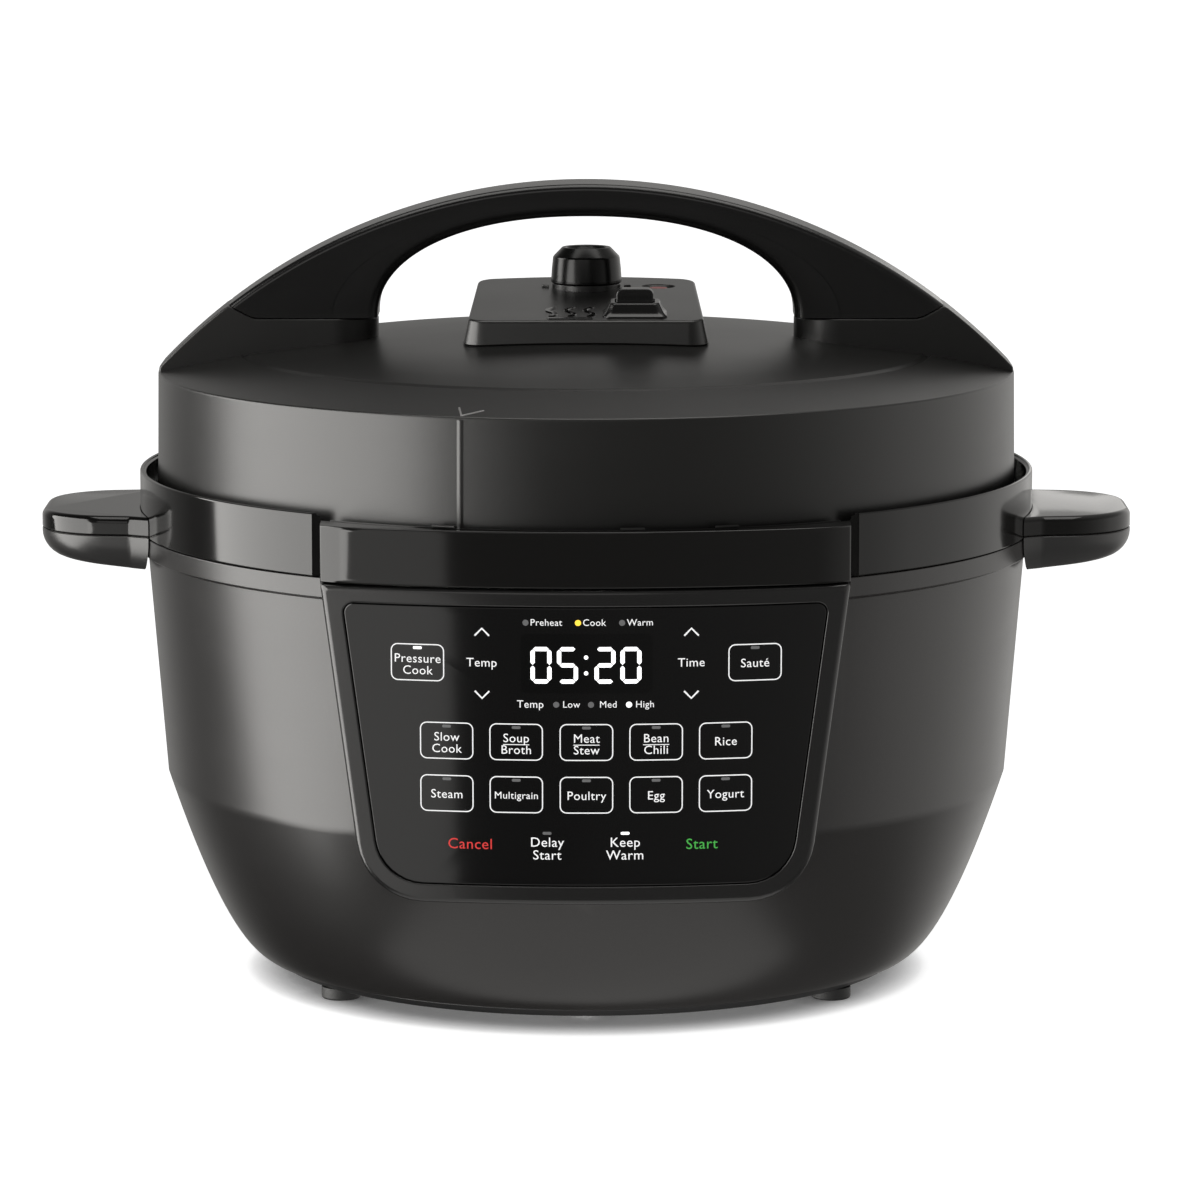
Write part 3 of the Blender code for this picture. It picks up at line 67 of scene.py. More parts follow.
def feed(node, sockets):
    # sets each socket, by name or number, from a value or another node's output
    for name, value in sockets.items():
        socket = node.inputs[name]
        if isinstance(value, bpy.types.NodeSocket):
            socket.id_data.links.new(value, socket)
        else:
            socket.default_value = value
    return node


def addNode(tree, kind, sockets=None, **settings):
    node = tree.nodes.new("ShaderNode" + kind)
    for key, value in settings.items():
        setattr(node, key, value)
    return feed(node, sockets or {})


def maths(tree, operation, first, second=0.0):
    return addNode(tree, "Math", {0: first, 1: second}, operation=operation).outputs[0]


def noise(tree, where, scale, detail=3.0, roughness=0.5):
    sockets = {"Vector": where, "Scale": scale, "Detail": detail, "Roughness": roughness}
    return addNode(tree, "TexNoise", sockets).outputs["Fac"]


def objectPlace(tree):
    return addNode(tree, "TexCoord").outputs["Object"]


def makeMouldGrain():
    # fine spark-eroded grain of moulded plastic, with a broad uneven sheen
    group, given, out = newGroup("mouldGrain", {"Grain Size": 1800.0, "Sheen Spread": 0.06},
                                 ["Height", "Sheen", "Speckle"])
    place = objectPlace(group)
    cells = addNode(group, "TexVoronoi", {"Vector": place, "Scale": given["Grain Size"]}, feature="SMOOTH_F1")
    fine = noise(group, place, given["Grain Size"], 4.0, 0.6)
    broad = maths(group, "SUBTRACT", noise(group, place, 22.0, 4.0), 0.5)
    feed(out, {
        "Height": maths(group, "ADD", maths(group, "MULTIPLY", cells.outputs["Distance"], 0.6), fine),
        "Sheen": maths(group, "MULTIPLY", broad, given["Sheen Spread"]),
        "Speckle": maths(group, "SUBTRACT", noise(group, place, 900.0, 2.0), 0.5)})
    return group


def makeHandling():
    # faint wipe marks and dust that a used surface picks up
    group, given, out = newGroup("handling", {"Amount": 0.05, "Dust": 0.1}, ["Rough Change", "Dust Mask"])
    place = objectPlace(group)
    stretch = addNode(group, "Mapping", {"Scale": (9.0, 9.0, 34.0), "Rotation": (0.3, 0.2, 0.6),
                                         "Vector": place})
    wipes = maths(group, "SUBTRACT", noise(group, stretch.outputs[0], 3.0, 6.0, 0.6), 0.5)
    facing = addNode(group, "SeparateXYZ", {0: addNode(group, "NewGeometry").outputs["Normal"]})
    up = maths(group, "MAXIMUM", facing.outputs["Z"], 0.0)
    motes = maths(group, "GREATER_THAN", noise(group, place, 700.0, 2.0, 0.7), 0.72)
    haze = maths(group, "ADD", maths(group, "MULTIPLY", motes, 0.7), noise(group, place, 60.0, 5.0))
    feed(out, {
        "Rough Change": maths(group, "MULTIPLY", wipes, given["Amount"]),
        "Dust Mask": maths(group, "MULTIPLY", maths(group, "MULTIPLY", up, haze), given["Dust"])})
    return group


def makePaintedEdgeHighlight():
    # a painted highlight: moulded and pressed edges get a lighter base colour, standing in for the little more
    # light they catch than the faces beside them
    group, given, out = newGroup("paintedEdgeHighlight", {"Strength": 0.5}, ["Painted Highlight Mask"])
    point = addNode(group, "NewGeometry").outputs["Pointiness"]
    ramp = addNode(group, "MapRange", {"From Min": 0.52, "From Max": 0.6, "Value": point})
    feed(out, {"Painted Highlight Mask": maths(group, "MULTIPLY", ramp.outputs[0], given["Strength"])})
    return group


def makeSpinBrush():
    # circular brush lines round the upright axis, as on turned and spun steel
    group, given, out = newGroup("spinBrush", {"Line Density": 900.0}, ["Height", "Streak"])
    x, y, z = addNode(group, "SeparateXYZ", {0: objectPlace(group)}).outputs
    across = maths(group, "ADD", maths(group, "POWER", x, 2.0), maths(group, "POWER", y, 2.0))
    join = addNode(group, "CombineXYZ", {
        "X": maths(group, "MULTIPLY", maths(group, "SQRT", across), given["Line Density"]),
        "Y": maths(group, "MULTIPLY", maths(group, "ARCTAN2", y, x), 1.5),
        "Z": maths(group, "MULTIPLY", z, given["Line Density"])})
    lines = noise(group, join.outputs[0], 1.0, 4.0, 0.7)
    feed(out, {"Height": lines, "Streak": maths(group, "SUBTRACT", lines, 0.5)})
    return group


groups = {"grain": makeMouldGrain(), "handling": makeHandling(), "edge": makePaintedEdgeHighlight(),
          "brush": makeSpinBrush()}


# edge sets the strength of the painted highlight along sharp edges
usual = dict(metal=0.0, coat=0.0, size=2200, depth=0.00001, spread=0.04, dust=0.01, edge=0.3, flake=0.0,
             shine=0.5)
plastics = {  # what differs from the usual moulding
    "bodySatin": dict(color=(0.017, 0.0158, 0.015), rough=0.29, size=2400, edge=0.25, flake=0.5),
    "lidGrain": dict(color=(0.007, 0.0067, 0.006), rough=0.33, size=1700, depth=0.000035, dust=0.012),
    "pianoBlack": dict(color=(0.006, 0.0057, 0.0053), rough=0.1, size=900, depth=0.0, spread=0.02,
                       dust=0.004, edge=0.15, shine=0.37),
    "markGrey": dict(color=(0.42, 0.41, 0.4), rough=0.32, size=2000, spread=0.03, dust=0.0, edge=0.2),
    "knobBlack": dict(color=(0.004, 0.0038, 0.0036), rough=0.22, spread=0.03, dust=0.0, shine=0.25),
    "handleBlack": dict(color=(0.005, 0.0048, 0.0046), rough=0.21, depth=0.00002),
    "gripBlack": dict(color=(0.03, 0.0292, 0.0282), rough=0.3, depth=0.00002),
    "bezelSatin": dict(color=(0.01, 0.0096, 0.0093), rough=0.24, coat=0.1, spread=0.03, dust=0.005),
    "panelFilm": dict(color=(0.003, 0.0029, 0.0029), rough=0.11, size=900, depth=0.0, spread=0.01,
                      dust=0.0, edge=0.0),
    "windowFilm": dict(color=(0.0015, 0.0015, 0.0015), rough=0.05, size=900, depth=0.0, spread=0.01,
                       dust=0.0, edge=0.0),
    "baseMoulding": dict(color=(0.014, 0.014, 0.014), rough=0.45, size=1300, depth=0.00004,
                         spread=0.06, dust=0.03, edge=0.2),
    "footRubber": dict(color=(0.018, 0.018, 0.018), rough=0.6, size=1100, depth=0.00008, spread=0.05,
                       dust=0.05, edge=0.1),
    "silicone": dict(color=(0.62, 0.6, 0.56), rough=0.48, size=1500, depth=0.00002, spread=0.06,
                     dust=0.02, edge=0.1),
    "valveRed": dict(color=(0.62, 0.03, 0.022), rough=0.35, coat=0.1, size=2000, dust=0.0, edge=0.2),
    "boardGreen": dict(color=(0.018, 0.11, 0.045), rough=0.45, coat=0.2, size=1500, spread=0.06,
                       dust=0.05, edge=0.2),
    "leadSleeve": dict(color=(0.016, 0.016, 0.018), rough=0.55, size=1300, depth=0.00004, spread=0.05,
                       dust=0.04, edge=0.1),
}
metals = {  # brushed or cast
    "brushedSteel": dict(color=(0.45, 0.443, 0.432), rough=0.34, lines=900, depth=0.00001, streak=0.3),
    "castAluminium": dict(color=(0.52, 0.52, 0.53), rough=0.45, lines=350, depth=0.00002, streak=0.2),
    "platedSteel": dict(color=(0.48, 0.48, 0.49), rough=0.24, lines=1200, depth=0.00001, streak=0.15),
}


def groupNode(tree, name, sockets):
    return addNode(tree, "Group", sockets, node_tree=groups[name]).outputs


def mixColor(tree, amount, first, second, blend="MIX"):
    a, b = ((*value, 1.0) if isinstance(value, tuple) else value for value in (first, second))
    node = addNode(tree, "Mix", {"Factor": amount}, data_type="RGBA", blend_type=blend)
    return feed(node, {"A": a, "B": b}).outputs["Result"]


def startMaterial(name):
    material = bpy.data.materials.new(name)
    material.use_nodes = True
    return material, material.node_tree, material.node_tree.nodes["Principled BSDF"]


def bumped(tree, height, strength, depth):
    return addNode(tree, "Bump", {"Strength": strength, "Distance": depth, "Height": height}).outputs[0]


def plasticMaterial(name, color, rough, metal, coat, size, depth, spread, dust, edge, flake, shine):
    material, tree, shader = startMaterial(name)
    grain = groupNode(tree, "grain", {"Grain Size": float(size), "Sheen Spread": spread})
    marks = groupNode(tree, "handling", {"Amount": spread, "Dust": dust})
    rim = groupNode(tree, "edge", {"Strength": edge})
    flecks = maths(tree, "MULTIPLY", grain["Speckle"], flake)
    speckled = mixColor(tree, flecks, color, tuple(c * 2.2 for c in color))
    # painted highlight: the colour is made lighter along sharp edges
    edgeHighlighted = mixColor(tree, rim["Painted Highlight Mask"], speckled, tuple(min(1.0, c * 1.8 + 0.01) for c in color))
    change = maths(tree, "ADD", grain["Sheen"], marks["Rough Change"])
    feed(shader, {
        "Base Color": mixColor(tree, marks["Dust Mask"], edgeHighlighted, (0.35, 0.34, 0.33)),
        "Roughness": maths(tree, "ADD", change, rough), "Metallic": metal, "Coat Weight": coat,
        "Coat Roughness": 0.04, "Specular IOR Level": shine})
    if depth:
        feed(shader, {"Normal": bumped(tree, grain["Height"], 0.6, depth)})
    return material


def metalMaterial(name, color, rough, lines, depth, streak):
    material, tree, shader = startMaterial(name)
    brush = groupNode(tree, "brush", {"Line Density": float(lines)})
    marks = groupNode(tree, "handling", {"Amount": 0.1, "Dust": 0.02})
    shade = maths(tree, "ADD", maths(tree, "MULTIPLY", brush["Streak"], streak * 2), 0.15)
    change = maths(tree, "ADD", maths(tree, "MULTIPLY", brush["Streak"], streak), marks["Rough Change"])
    feed(shader, {
        "Base Color": mixColor(tree, shade, color, tuple(c * 0.55 for c in color)),
        "Roughness": maths(tree, "ADD", change, rough), "Metallic": 1.0, "Anisotropic": 0.4,
        "Normal": bumped(tree, brush["Height"], 0.5, depth)})
    return material


def inkMaterial(name, color, glow):
    # printed or lit legends behind the film; the glow given to the printed inks and to the unlit lamps is
    # painted light, since they are no lamps
    material, tree, shader = startMaterial(name)
    marks = groupNode(tree, "handling", {"Amount": 0.05, "Dust": 0.0})
    grain = groupNode(tree, "grain", {"Grain Size": 900.0, "Sheen Spread": 0.02})
    tone = mixColor(tree, maths(tree, "ADD", grain["Speckle"], 0.3), color, tuple(c * 0.9 for c in color))
    feed(shader, {"Base Color": tone, "Emission Color": tone, "Emission Strength": glow,
                  "Roughness": maths(tree, "ADD", marks["Rough Change"], 0.3)})
    return material


# the printed inks and the unlit lamps carry a painted glow; the lit lamps and figures glow as lamps
inks = {
    "inkWhitePaintedGlow": ((0.86, 0.86, 0.86), 0.45),
    "inkRedPaintedGlow": ((0.72, 0.03, 0.026), 0.3),
    "inkGreenPaintedGlow": ((0.055, 0.42, 0.06), 0.35),
    "lampOff": ((0.16, 0.16, 0.16), 0.12),
    "lampWhite": ((0.95, 0.95, 0.95), 0.9),
    "lampYellow": ((0.95, 0.62, 0.045), 0.8),
    "digitLit": ((0.98, 0.98, 0.98), 1.0),
}
materials = {name: plasticMaterial(name, **{**usual, **values}) for name, values in plastics.items()}
materials.update({name: metalMaterial(name, **values) for name, values in metals.items()})
materials.update({name: inkMaterial(name, *values) for name, values in inks.items()})
print("materials made:", len(materials))


def arc(cx, cy, radius, start, end, steps):
    swing = (end - start) / steps
    return [(cx + radius * math.cos(start + swing * i), cy + radius * math.sin(start + swing * i))
            for i in range(steps + 1)]


def softened(corners, steps=5, closed=True):
    # (x, y, radius) corners; a corner with a radius becomes an arc
    points = []
    count = len(corners)
    for i, (x, y, radius) in enumerate(corners):
        atEnd = not closed and i in (0, count - 1)
        if radius <= 0 or atEnd:
            points.append((x, y))
            continue
        here = Vector((x, y))
        before = (Vector(corners[i - 1][:2]) - here).normalized()
        after = (Vector(corners[(i + 1) % count][:2]) - here).normalized()
        half = before.angle(after) / 2
        start = here + before * radius / math.tan(half)
        middle = here + (before + after).normalized() * radius / math.sin(half)
        turn = math.pi - 2 * half
        side = 1 if before.cross(after) < 0 else -1
        for k in range(steps + 1):
            points.append(tuple(middle + Matrix.Rotation(side * turn * k / steps, 2) @ (start - middle)))
    return points


def curveBetween(p0, p1, p2, p3, steps):
    points = []
    for i in range(steps + 1):
        t = i / steps
        w = ((1 - t) ** 3, 3 * t * (1 - t) ** 2, 3 * t * t * (1 - t), t ** 3)
        points.append(tuple(sum(a * p[k] for a, p in zip(w, (p0, p1, p2, p3))) for k in (0, 1)))
    return points


def quarter(steps):
    # a rounded edge in steps: how far in it is, and how far it has still to rise, both from 0 to 1
    return [(1 - math.cos(a), 1 - math.sin(a)) for a in (math.pi / 2 * k / steps for k in range(steps + 1))]


def boxed(cx, cy, w, h, radius, steps):
    return softened([(cx + w / 2, cy - h / 2, radius), (cx + w / 2, cy + h / 2, radius),
                     (cx - w / 2, cy + h / 2, radius), (cx - w / 2, cy - h / 2, radius)], steps)


def level(plan, z):
    return [(x, y, z) for x, y in plan]


def measured(node):
    # lowest and highest corners, middle and half size
    low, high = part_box(node)
    return low, high, (low + high) / 2, (high - low) / 2


def placed(name, data):
    obj = bpy.data.objects.new(name, data)
    scene.collection.objects.link(obj)
    return obj


def frozen(obj):
    return bpy.data.meshes.new_from_object(obj.evaluated_get(bpy.context.evaluated_depsgraph_get()))


def linked(name, bm, outward=True):
    if outward:
        bmesh.ops.recalc_face_normals(bm, faces=bm.faces)
    mesh = bpy.data.meshes.new(name)
    bm.to_mesh(mesh)
    bm.free()
    return placed(name, mesh)


def joinRings(bm, low, high):
    for i in range(len(low)):
        j = (i + 1) % len(low)
        bm.faces.new((low[i], low[j], high[j], high[i]))


def turn(name, profile, steps=192, centre=(0.0, 0.0), closed=True):
    # a closed loop of (radius, height), or a line that starts and ends on the axis
    bm = bmesh.new()
    rings = []
    for radius, z in profile:
        if radius < 1e-7:
            rings.append([bm.verts.new((centre[0], centre[1], z))])
        else:
            rings.append([bm.verts.new((centre[0] + radius * math.cos(a), centre[1] + radius * math.sin(a), z))
                          for a in (2 * math.pi * i / steps for i in range(steps))])
    for low, high in list(zip(rings, rings[1:])) + ([(rings[-1], rings[0])] if closed else []):
        if len(low) == len(high) > 1:
            joinRings(bm, low, high)
            continue
        for i in range(steps):
            j = (i + 1) % steps
            if len(high) > 1:
                bm.faces.new((low[0], high[j], high[i]))
            elif len(low) > 1:
                bm.faces.new((low[i], low[j], high[0]))
    return linked(name, bm)


def rod(name, radius, low, high, steps, centre=(0.0, 0.0)):
    return turn(name, [(0, low), (radius, low), (radius, high), (0, high)], steps, centre, False)


def stack(name, rings, looped=False):
    # joins closed rings of equal length, given as lists of 3-D points
    bm = bmesh.new()
    made = [[bm.verts.new(p) for p in ring] for ring in rings]
    for low, high in zip(made, made[1:] + made[:1] if looped else made[1:]):
        joinRings(bm, low, high)
    for end in () if looped else (made[0], made[-1]):
        bm.faces.new(end)
    return linked(name, bm)


def slab(name, outline, low, high, plane="XY", bevelled=0.0, steps=3, only=None):
    # a flat-sided piece from an outline, with its edges rounded off
    bm = bmesh.new()
    ends = [[bm.verts.new((x, y, z) if plane == "XY" else (x, z, y)) for x, y in outline] for z in (low, high)]
    joinRings(bm, *ends)
    for end in ends:
        bm.faces.new(end)
    bmesh.ops.recalc_face_normals(bm, faces=bm.faces)
    if bevelled:
        edges = [e for e in bm.edges if e.calc_face_angle(0) > math.radians(50)]
        if only:
            edges = [e for e in edges if only((e.verts[0].co + e.verts[1].co) / 2)]
        bmesh.ops.bevel(bm, geom=edges, offset=bevelled, segments=steps, profile=0.5, affect="EDGES",
                        clamp_overlap=True)
    return linked(name, bm)


def brick(name, size, centre, bevelled=0.0, steps=2):
    outline = boxed(centre[0], centre[1], size[0], size[1], 0, 0)
    return slab(name, outline, centre[2] - size[2] / 2, centre[2] + size[2] / 2, "XY", bevelled, steps)


def tubeAlong(name, route, radius, sides=10):
    rings = []
    for i, spot in enumerate(route):
        ahead = (Vector(route[min(i + 1, len(route) - 1)]) - Vector(route[max(i - 1, 0)])).normalized()
        side = ahead.cross(Vector((0, 0, 1))).normalized()
        top = side.cross(ahead)
        rings.append([Vector(spot) + radius * (math.cos(a) * side + math.sin(a) * top)
                      for a in (2 * math.pi * k / sides for k in range(sides))])
    return stack(name, rings)


def cutWith(obj, tool, operation="DIFFERENCE", keepTool=False):
    step = obj.modifiers.new("cut", "BOOLEAN")
    step.operation, step.solver, step.object = operation, "EXACT", tool
    old, mesh = obj.data, frozen(obj)
    obj.modifiers.clear()
    obj.data = mesh
    bpy.data.meshes.remove(old)
    if not keepTool:
        bpy.data.objects.remove(tool)
    return obj


def dress(obj, material, body, *nodes, sharp=32, weighted=True):
    # finish, shading, body and the frame nodes a piece stands for
    obj.data.materials.clear()
    obj.data.materials.append(materials[material])
    obj.data.shade_smooth()
    obj.data.set_sharp_from_angle(angle=math.radians(sharp))
    if weighted:
        even = obj.modifiers.new("evenShade", "WEIGHTED_NORMAL")
        even.keep_sharp, even.weight = True, 80
    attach(obj, body)
    if nodes:
        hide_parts(*nodes)
    return obj


def spun(name, corners, soft, steps, material, body, *nodes, middle=None, sharp=32):
    # a turned piece; one with a middle is solid, and its profile starts and ends on the axis
    solid = middle is not None
    centre = (middle[0], middle[1]) if solid else (0.0, 0.0)
    return dress(turn(name, softened(corners, soft, not solid), steps, centre, not solid),
                 material, body, *nodes, sharp=sharp)


housing = dict(wall=0.0028, topZ=0.1775, lipRadius=0.1764, lipZ=0.169, neckRadius=0.1737,
               creaseRadius=0.1666, creaseZ=0.0815, footRadius=0.1315, footZ=0.0092)
console = dict(bow=0.313, front=0.1765, tilt=math.radians(4.8), halfTop=0.0987, halfBottom=0.0831,
               bottomZ=0.0567, corner=0.025, back=0.148)
fascia = dict(topZ=0.199, edge=0.0007, depth=0.018, facet=0.0064, facetSlope=0.32)
bezel = dict(side=0.0073, top=0.0064, bottom=0.0072, round=0.0022, glassCorner=0.018, lip=0.0007, ledge=0.0033)


def bellyPoints(steps=22):
    h = housing
    crease, foot = (h["creaseRadius"], h["creaseZ"]), (h["footRadius"], h["footZ"])
    return curveBetween(crease, (crease[0] - 0.0086, crease[1] - 0.0265), (foot[0] + 0.0125, foot[1] + 0.0078),
                        foot, steps)


def bowY(x, z, depth, tilt):
    # where the bowed front of the console is, depth behind its face
    bow, front = console["bow"], console["front"]
    run = bow - math.sqrt((bow - depth) ** 2 - x * x)
    if not tilt:
        return run - front
    drop = (z - housing["topZ"] - run * math.sin(tilt)) / math.cos(tilt)
    return -front + run * math.cos(tilt) - drop * math.sin(tilt)


def halfWidth(z):
    c = console
    top = housing["topZ"] - hair
    return c["halfTop"] + (c["halfBottom"] - c["halfTop"]) * (top - z) / (top - c["bottomZ"])


def consoleRing(side, top, bottom, corner, topCorner, spans=16):
    # the tapered outline, with its long edges divided so that they can follow the bow
    high = housing["topZ"] - hair - top
    low = console["bottomZ"] + bottom
    ht, hb = halfWidth(high) - side, halfWidth(low) - side
    ring = softened([(ht, high, topCorner), (-ht, high, topCorner), (-hb, low, corner), (hb, low, corner)], 8)
    return divided(ring, spans)


def divided(ring, spans, longest=0.05):
    # splits the long straight edges of a ring into equal parts
    out = []
    for (x0, y0), (x1, y1) in zip(ring, ring[1:] + ring[:1]):
        parts = spans if abs(x1 - x0) > longest or abs(y1 - y0) > longest else 1
        out += [(x0 + (x1 - x0) * k / parts, y0 + (y1 - y0) * k / parts) for k in range(parts)]
    return out


def onFront(ring, depth, tilt):
    return [(x, bowY(x, z, depth, tilt), z) for x, z in ring]


def shrunk(ring, share, cx, cz):
    return [(cx + (x - cx) * share, cz + (z - cz) * share) for x, z in ring]


def buildHousing():
    h = housing
    outer = softened([(h["lipRadius"] - 0.002, h["topZ"], 0), (h["lipRadius"], h["topZ"], 0.0005),
                      (h["lipRadius"], h["lipZ"] + 0.001, 0.0006), (h["neckRadius"], h["lipZ"], 0.0004),
                      (h["creaseRadius"], h["creaseZ"], 0)], 4, False)
    belly = bellyPoints()
    inner = [(r - h["wall"], z) for r, z in reversed(belly)]
    inner += [(h["neckRadius"] - h["wall"], h["lipZ"]), (h["lipRadius"] - 0.0055, h["topZ"])]
    shell = turn("outerHousing", outer[:-1] + belly + inner, 256)
    ring = consoleRing(-0.0006, -0.01, -0.0006, console["corner"], 0)
    cutWith(shell, slab("consoleCut", ring, -0.22, -0.115, "XZ"))
    inletZ = measured("power_inlet")[2].z
    cutWith(shell, brick("inletCut", (0.0312, 0.06, 0.0232), (0, 0.15, inletZ), 0.0015))
    low, high, mid, half = measured("condensation_cup")
    size = (2 * half.x + 0.0012, 0.06, 2 * half.z + 0.0012)
    cutWith(shell, brick("cupCut", size, (0, 0.176, mid.z), 0.002))
    dress(shell, "bodySatin", "base", "outer_housing", sharp=26)


base = dict(radius=0.129, bottomRadius=0.124, z=0.005, topZ=0.0089, thickness=0.0025, slots=5,
            screwRadius=0.102)


def buildBottom():
    under, inside = base["z"], base["z"] + base["thickness"]
    loop = softened([(0, under, 0), (0.04, under, 0), (base["bottomRadius"], under, 0.003),
                     (base["radius"], base["topZ"], 0.0006), (base["radius"] - 0.003, base["topZ"], 0.0006),
                     (base["bottomRadius"] - 0.002, inside, 0.002), (0.04, inside, 0), (0, inside, 0)], 4,
                     False)
    cover = turn("bottomCover", loop, 160, closed=False)
    for row in range(base["slots"]):
        offset = (row - (base["slots"] - 1) / 2) * 0.012
        cutWith(cover, brick("slotCut", (0.046, 0.004, 0.02), (0, offset, under), 0.0015))
    groove = [(0.11, under - 0.002), (0.1108, under - 0.002), (0.1108, under + 0.0006), (0.11, under + 0.0006)]
    cutWith(cover, turn("rimCut", groove, 160))
    for k in range(4):
        x, y = (base["screwRadius"] * turned(math.pi / 2 * k) for turned in (math.cos, math.sin))
        cutWith(cover, rod("screwCut", 0.0021, 0.0, 0.02, 24, (x, y)))
        buildScrew(k + 1, x, y, under - hair)
    dress(cover, "baseMoulding", "base", "bottom_cover")
    for n in range(1, 5):
        low, high, mid, half = measured(f"foot_{n}")
        r, rise = half.x, low.z + 0.0004
        pad = [(0, rise, 0), (r * 0.55, rise, 0.0003), (r * 0.62, low.z, 0.0003), (r, low.z, 0.0009),
               (r, high.z, 0.0003), (0, high.z, 0)]
        spun(f"foot{n}", pad, 4, 48, "footRubber", "base", f"foot_{n}", middle=mid)


def buildScrew(number, x, y, under):
    head = softened([(0, under + 0.012, 0), (0.0018, under + 0.011, 0.0004), (0.0018, under, 0),
                     (0.004, under, 0.0002), (0.0038, under - 0.0018, 0.001), (0, under - 0.0022, 0)], 4, False)
    screw = turn(f"coverScrew{number}", head, 36, (x, y), False)
    for angle in (0.3, 0.3 + math.pi / 2):
        slot = brick("driveCut", (0.0042, 0.0009, 0.0024), (0, 0, 0))
        slot.data.transform(Matrix.Translation((x, y, under - 0.0022)) @ Matrix.Rotation(angle, 4, "Z"))
        cutWith(screw, slot)
    dress(screw, "platedSteel", "base", f"cover_screw_{number}")


buildHousing()
buildBottom()
print("housing and base built")


collar = dict(radius=0.1766, wall=0.0024, topZ=0.2015, floorZ=0.1835, floor=0.0025, innerRadius=0.1466,
              innerWall=0.002, seatRadius=0.1754)


def buildCollar():
    c = collar
    inside = c["radius"] - c["wall"]
    low = housing["topZ"] + hair
    under = c["floorZ"] - c["floor"]
    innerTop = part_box("lock_ring")[1].z - 0.0018 - hair
    loop = softened([
        (inside, c["topZ"] - 0.001, 0.0003), (inside + 0.0009, c["topZ"] - 0.001, 0.0003),
        (inside + 0.0009, c["topZ"], 0.0003), (c["radius"], c["topZ"], 0.0008), (c["radius"], low, 0.0006),
        (inside, low, 0), (inside, under, 0.0004), (c["innerRadius"], under, 0.0004),
        (c["innerRadius"], innerTop, 0.0004), (c["innerRadius"] + c["innerWall"], innerTop, 0.0004),
        (c["innerRadius"] + c["innerWall"], c["floorZ"], 0.0012), (inside, c["floorZ"], 0.0015),
    ], 4)
    band = turn("rimCollar", loop, 256)
    seatTop = fascia["topZ"] + hair
    half = console["halfTop"] + 0.0006
    for side in (-1, 1):  # the band falls away in a short chamfer just beside the fascia
        near, far = side * (half - 0.004), side * (half + 0.003)
        rim = -math.sqrt(c["radius"] ** 2 - far * far)
        wedge = [(far, rim - 0.003), (far, rim + 0.0006), (near, rim + 0.0006), (near, rim - 0.016)]
        cutWith(band, slab("jointCut", wedge, 0.17, 0.21))
    seat = brick("seatCut", (2 * half, 0.12, seatTop - 0.16), (0, -0.17, (seatTop + 0.16) / 2))
    cutWith(seat, rod("seatCore", c["seatRadius"], 0.1, 0.25, 256))
    cutWith(band, seat)
    cutWith(band, brick("ledgeCut", (2 * half, 0.05, 0.02), (0, -0.165, seatTop + 0.01)))
    dress(band, "pianoBlack", "base", "rim_collar", sharp=28)


def frontPiece(name, outer, tilt, edge, backDepth, centre, steps=4, sink=0.0, bands=16):
    # a bowed plate with a rounded front edge; outer(inset) gives its outline
    rings = [onFront(outer(0), backDepth, tilt)]
    rings += [onFront(outer(edge * inset), sink + edge * drop, tilt) for inset, drop in quarter(steps)]
    flat = outer(edge)
    rings += [onFront(shrunk(flat, share / bands, *centre), sink, tilt) for share in range(bands - 1, 0, -1)]
    return stack(name, rings)


def buildLedge():
    # the low ledge behind the fascia's top edge, with three small locating marks
    top = fascia["topZ"] + hair
    for number, x in enumerate((-0.0525, 0.0175, 0.0525)):
        mark = brick(f"ledgeMark{number + 1}", (0.009, 0.0016, 0.0008), (0, -0.1748, top + 0.0005), 0.0002)
        mark.data.transform(Matrix.Rotation(math.asin(x / 0.1752), 4, "Z"))
        dress(mark, "lidGrain", "base")


def buildFascia():
    low = housing["topZ"] + hair

    def outline(inset):
        half, top, bottom = console["halfTop"] - inset, fascia["topZ"] - inset, low + inset
        return divided([(half, top), (-half, top), (-half, bottom), (half, bottom)], 24)
    plate = frontPiece("frontFascia", outline, 0, fascia["edge"], fascia["depth"],
                       (0, (low + fascia["topZ"]) / 2))
    for vertex in plate.data.vertices:  # each end turns back in a narrow facet
        past = abs(vertex.co.x) - (console["halfTop"] - fascia["facet"])
        if past > 0 and vertex.co.y < -0.15:
            vertex.co.y += past * fascia["facetSlope"]
    cutWith(plate, rod("fasciaCore", 0.1757, 0.1, 0.25, 256))
    dress(plate, "pianoBlack", "base", "front_fascia", sharp=40)


def glassRing(inset):
    b = bezel
    return consoleRing(b["side"] + inset, b["top"] + inset, b["bottom"] + inset, b["glassCorner"] - inset,
                       0.004 - inset)


def buildBezel():
    # a rounded frame: outer wall, crowned face, inner wall down to the film's ledge
    tilt, r, lip = console["tilt"], bezel["round"], bezel["lip"]

    def outerRing(inset):
        return consoleRing(inset, inset, inset, console["corner"] - inset, 0.0012)

    def backRing(ring):
        return [(x, -console["back"], z) for x, z in ring]
    rings = [backRing(outerRing(0))]
    rings += [onFront(outerRing(r * inset), r * 0.8 * drop, tilt) for inset, drop in quarter(5)]
    rings += [onFront(glassRing(-lip * drop), 0.0001 + lip * inset, tilt) for inset, drop in quarter(5)]
    rings += [onFront(glassRing(inset), bezel["ledge"], tilt) for inset in (0, 0.002)]
    rings.append(backRing(glassRing(0.002)))
    dress(stack("panelBezel", rings, True), "bezelSatin", "base", "panel_bezel", sharp=40)


def buildGlass():
    glass = frontPiece("touchPanel", lambda inset: glassRing(hair + inset), console["tilt"], 0.0005, 0.003,
                       (0, 0.118), 3, 0.0005, 18)
    dress(glass, "panelFilm", "base", "touch_panel", sharp=40)


buildCollar()
buildLedge()
buildFascia()
buildBezel()
buildGlass()
print("collar and console built")


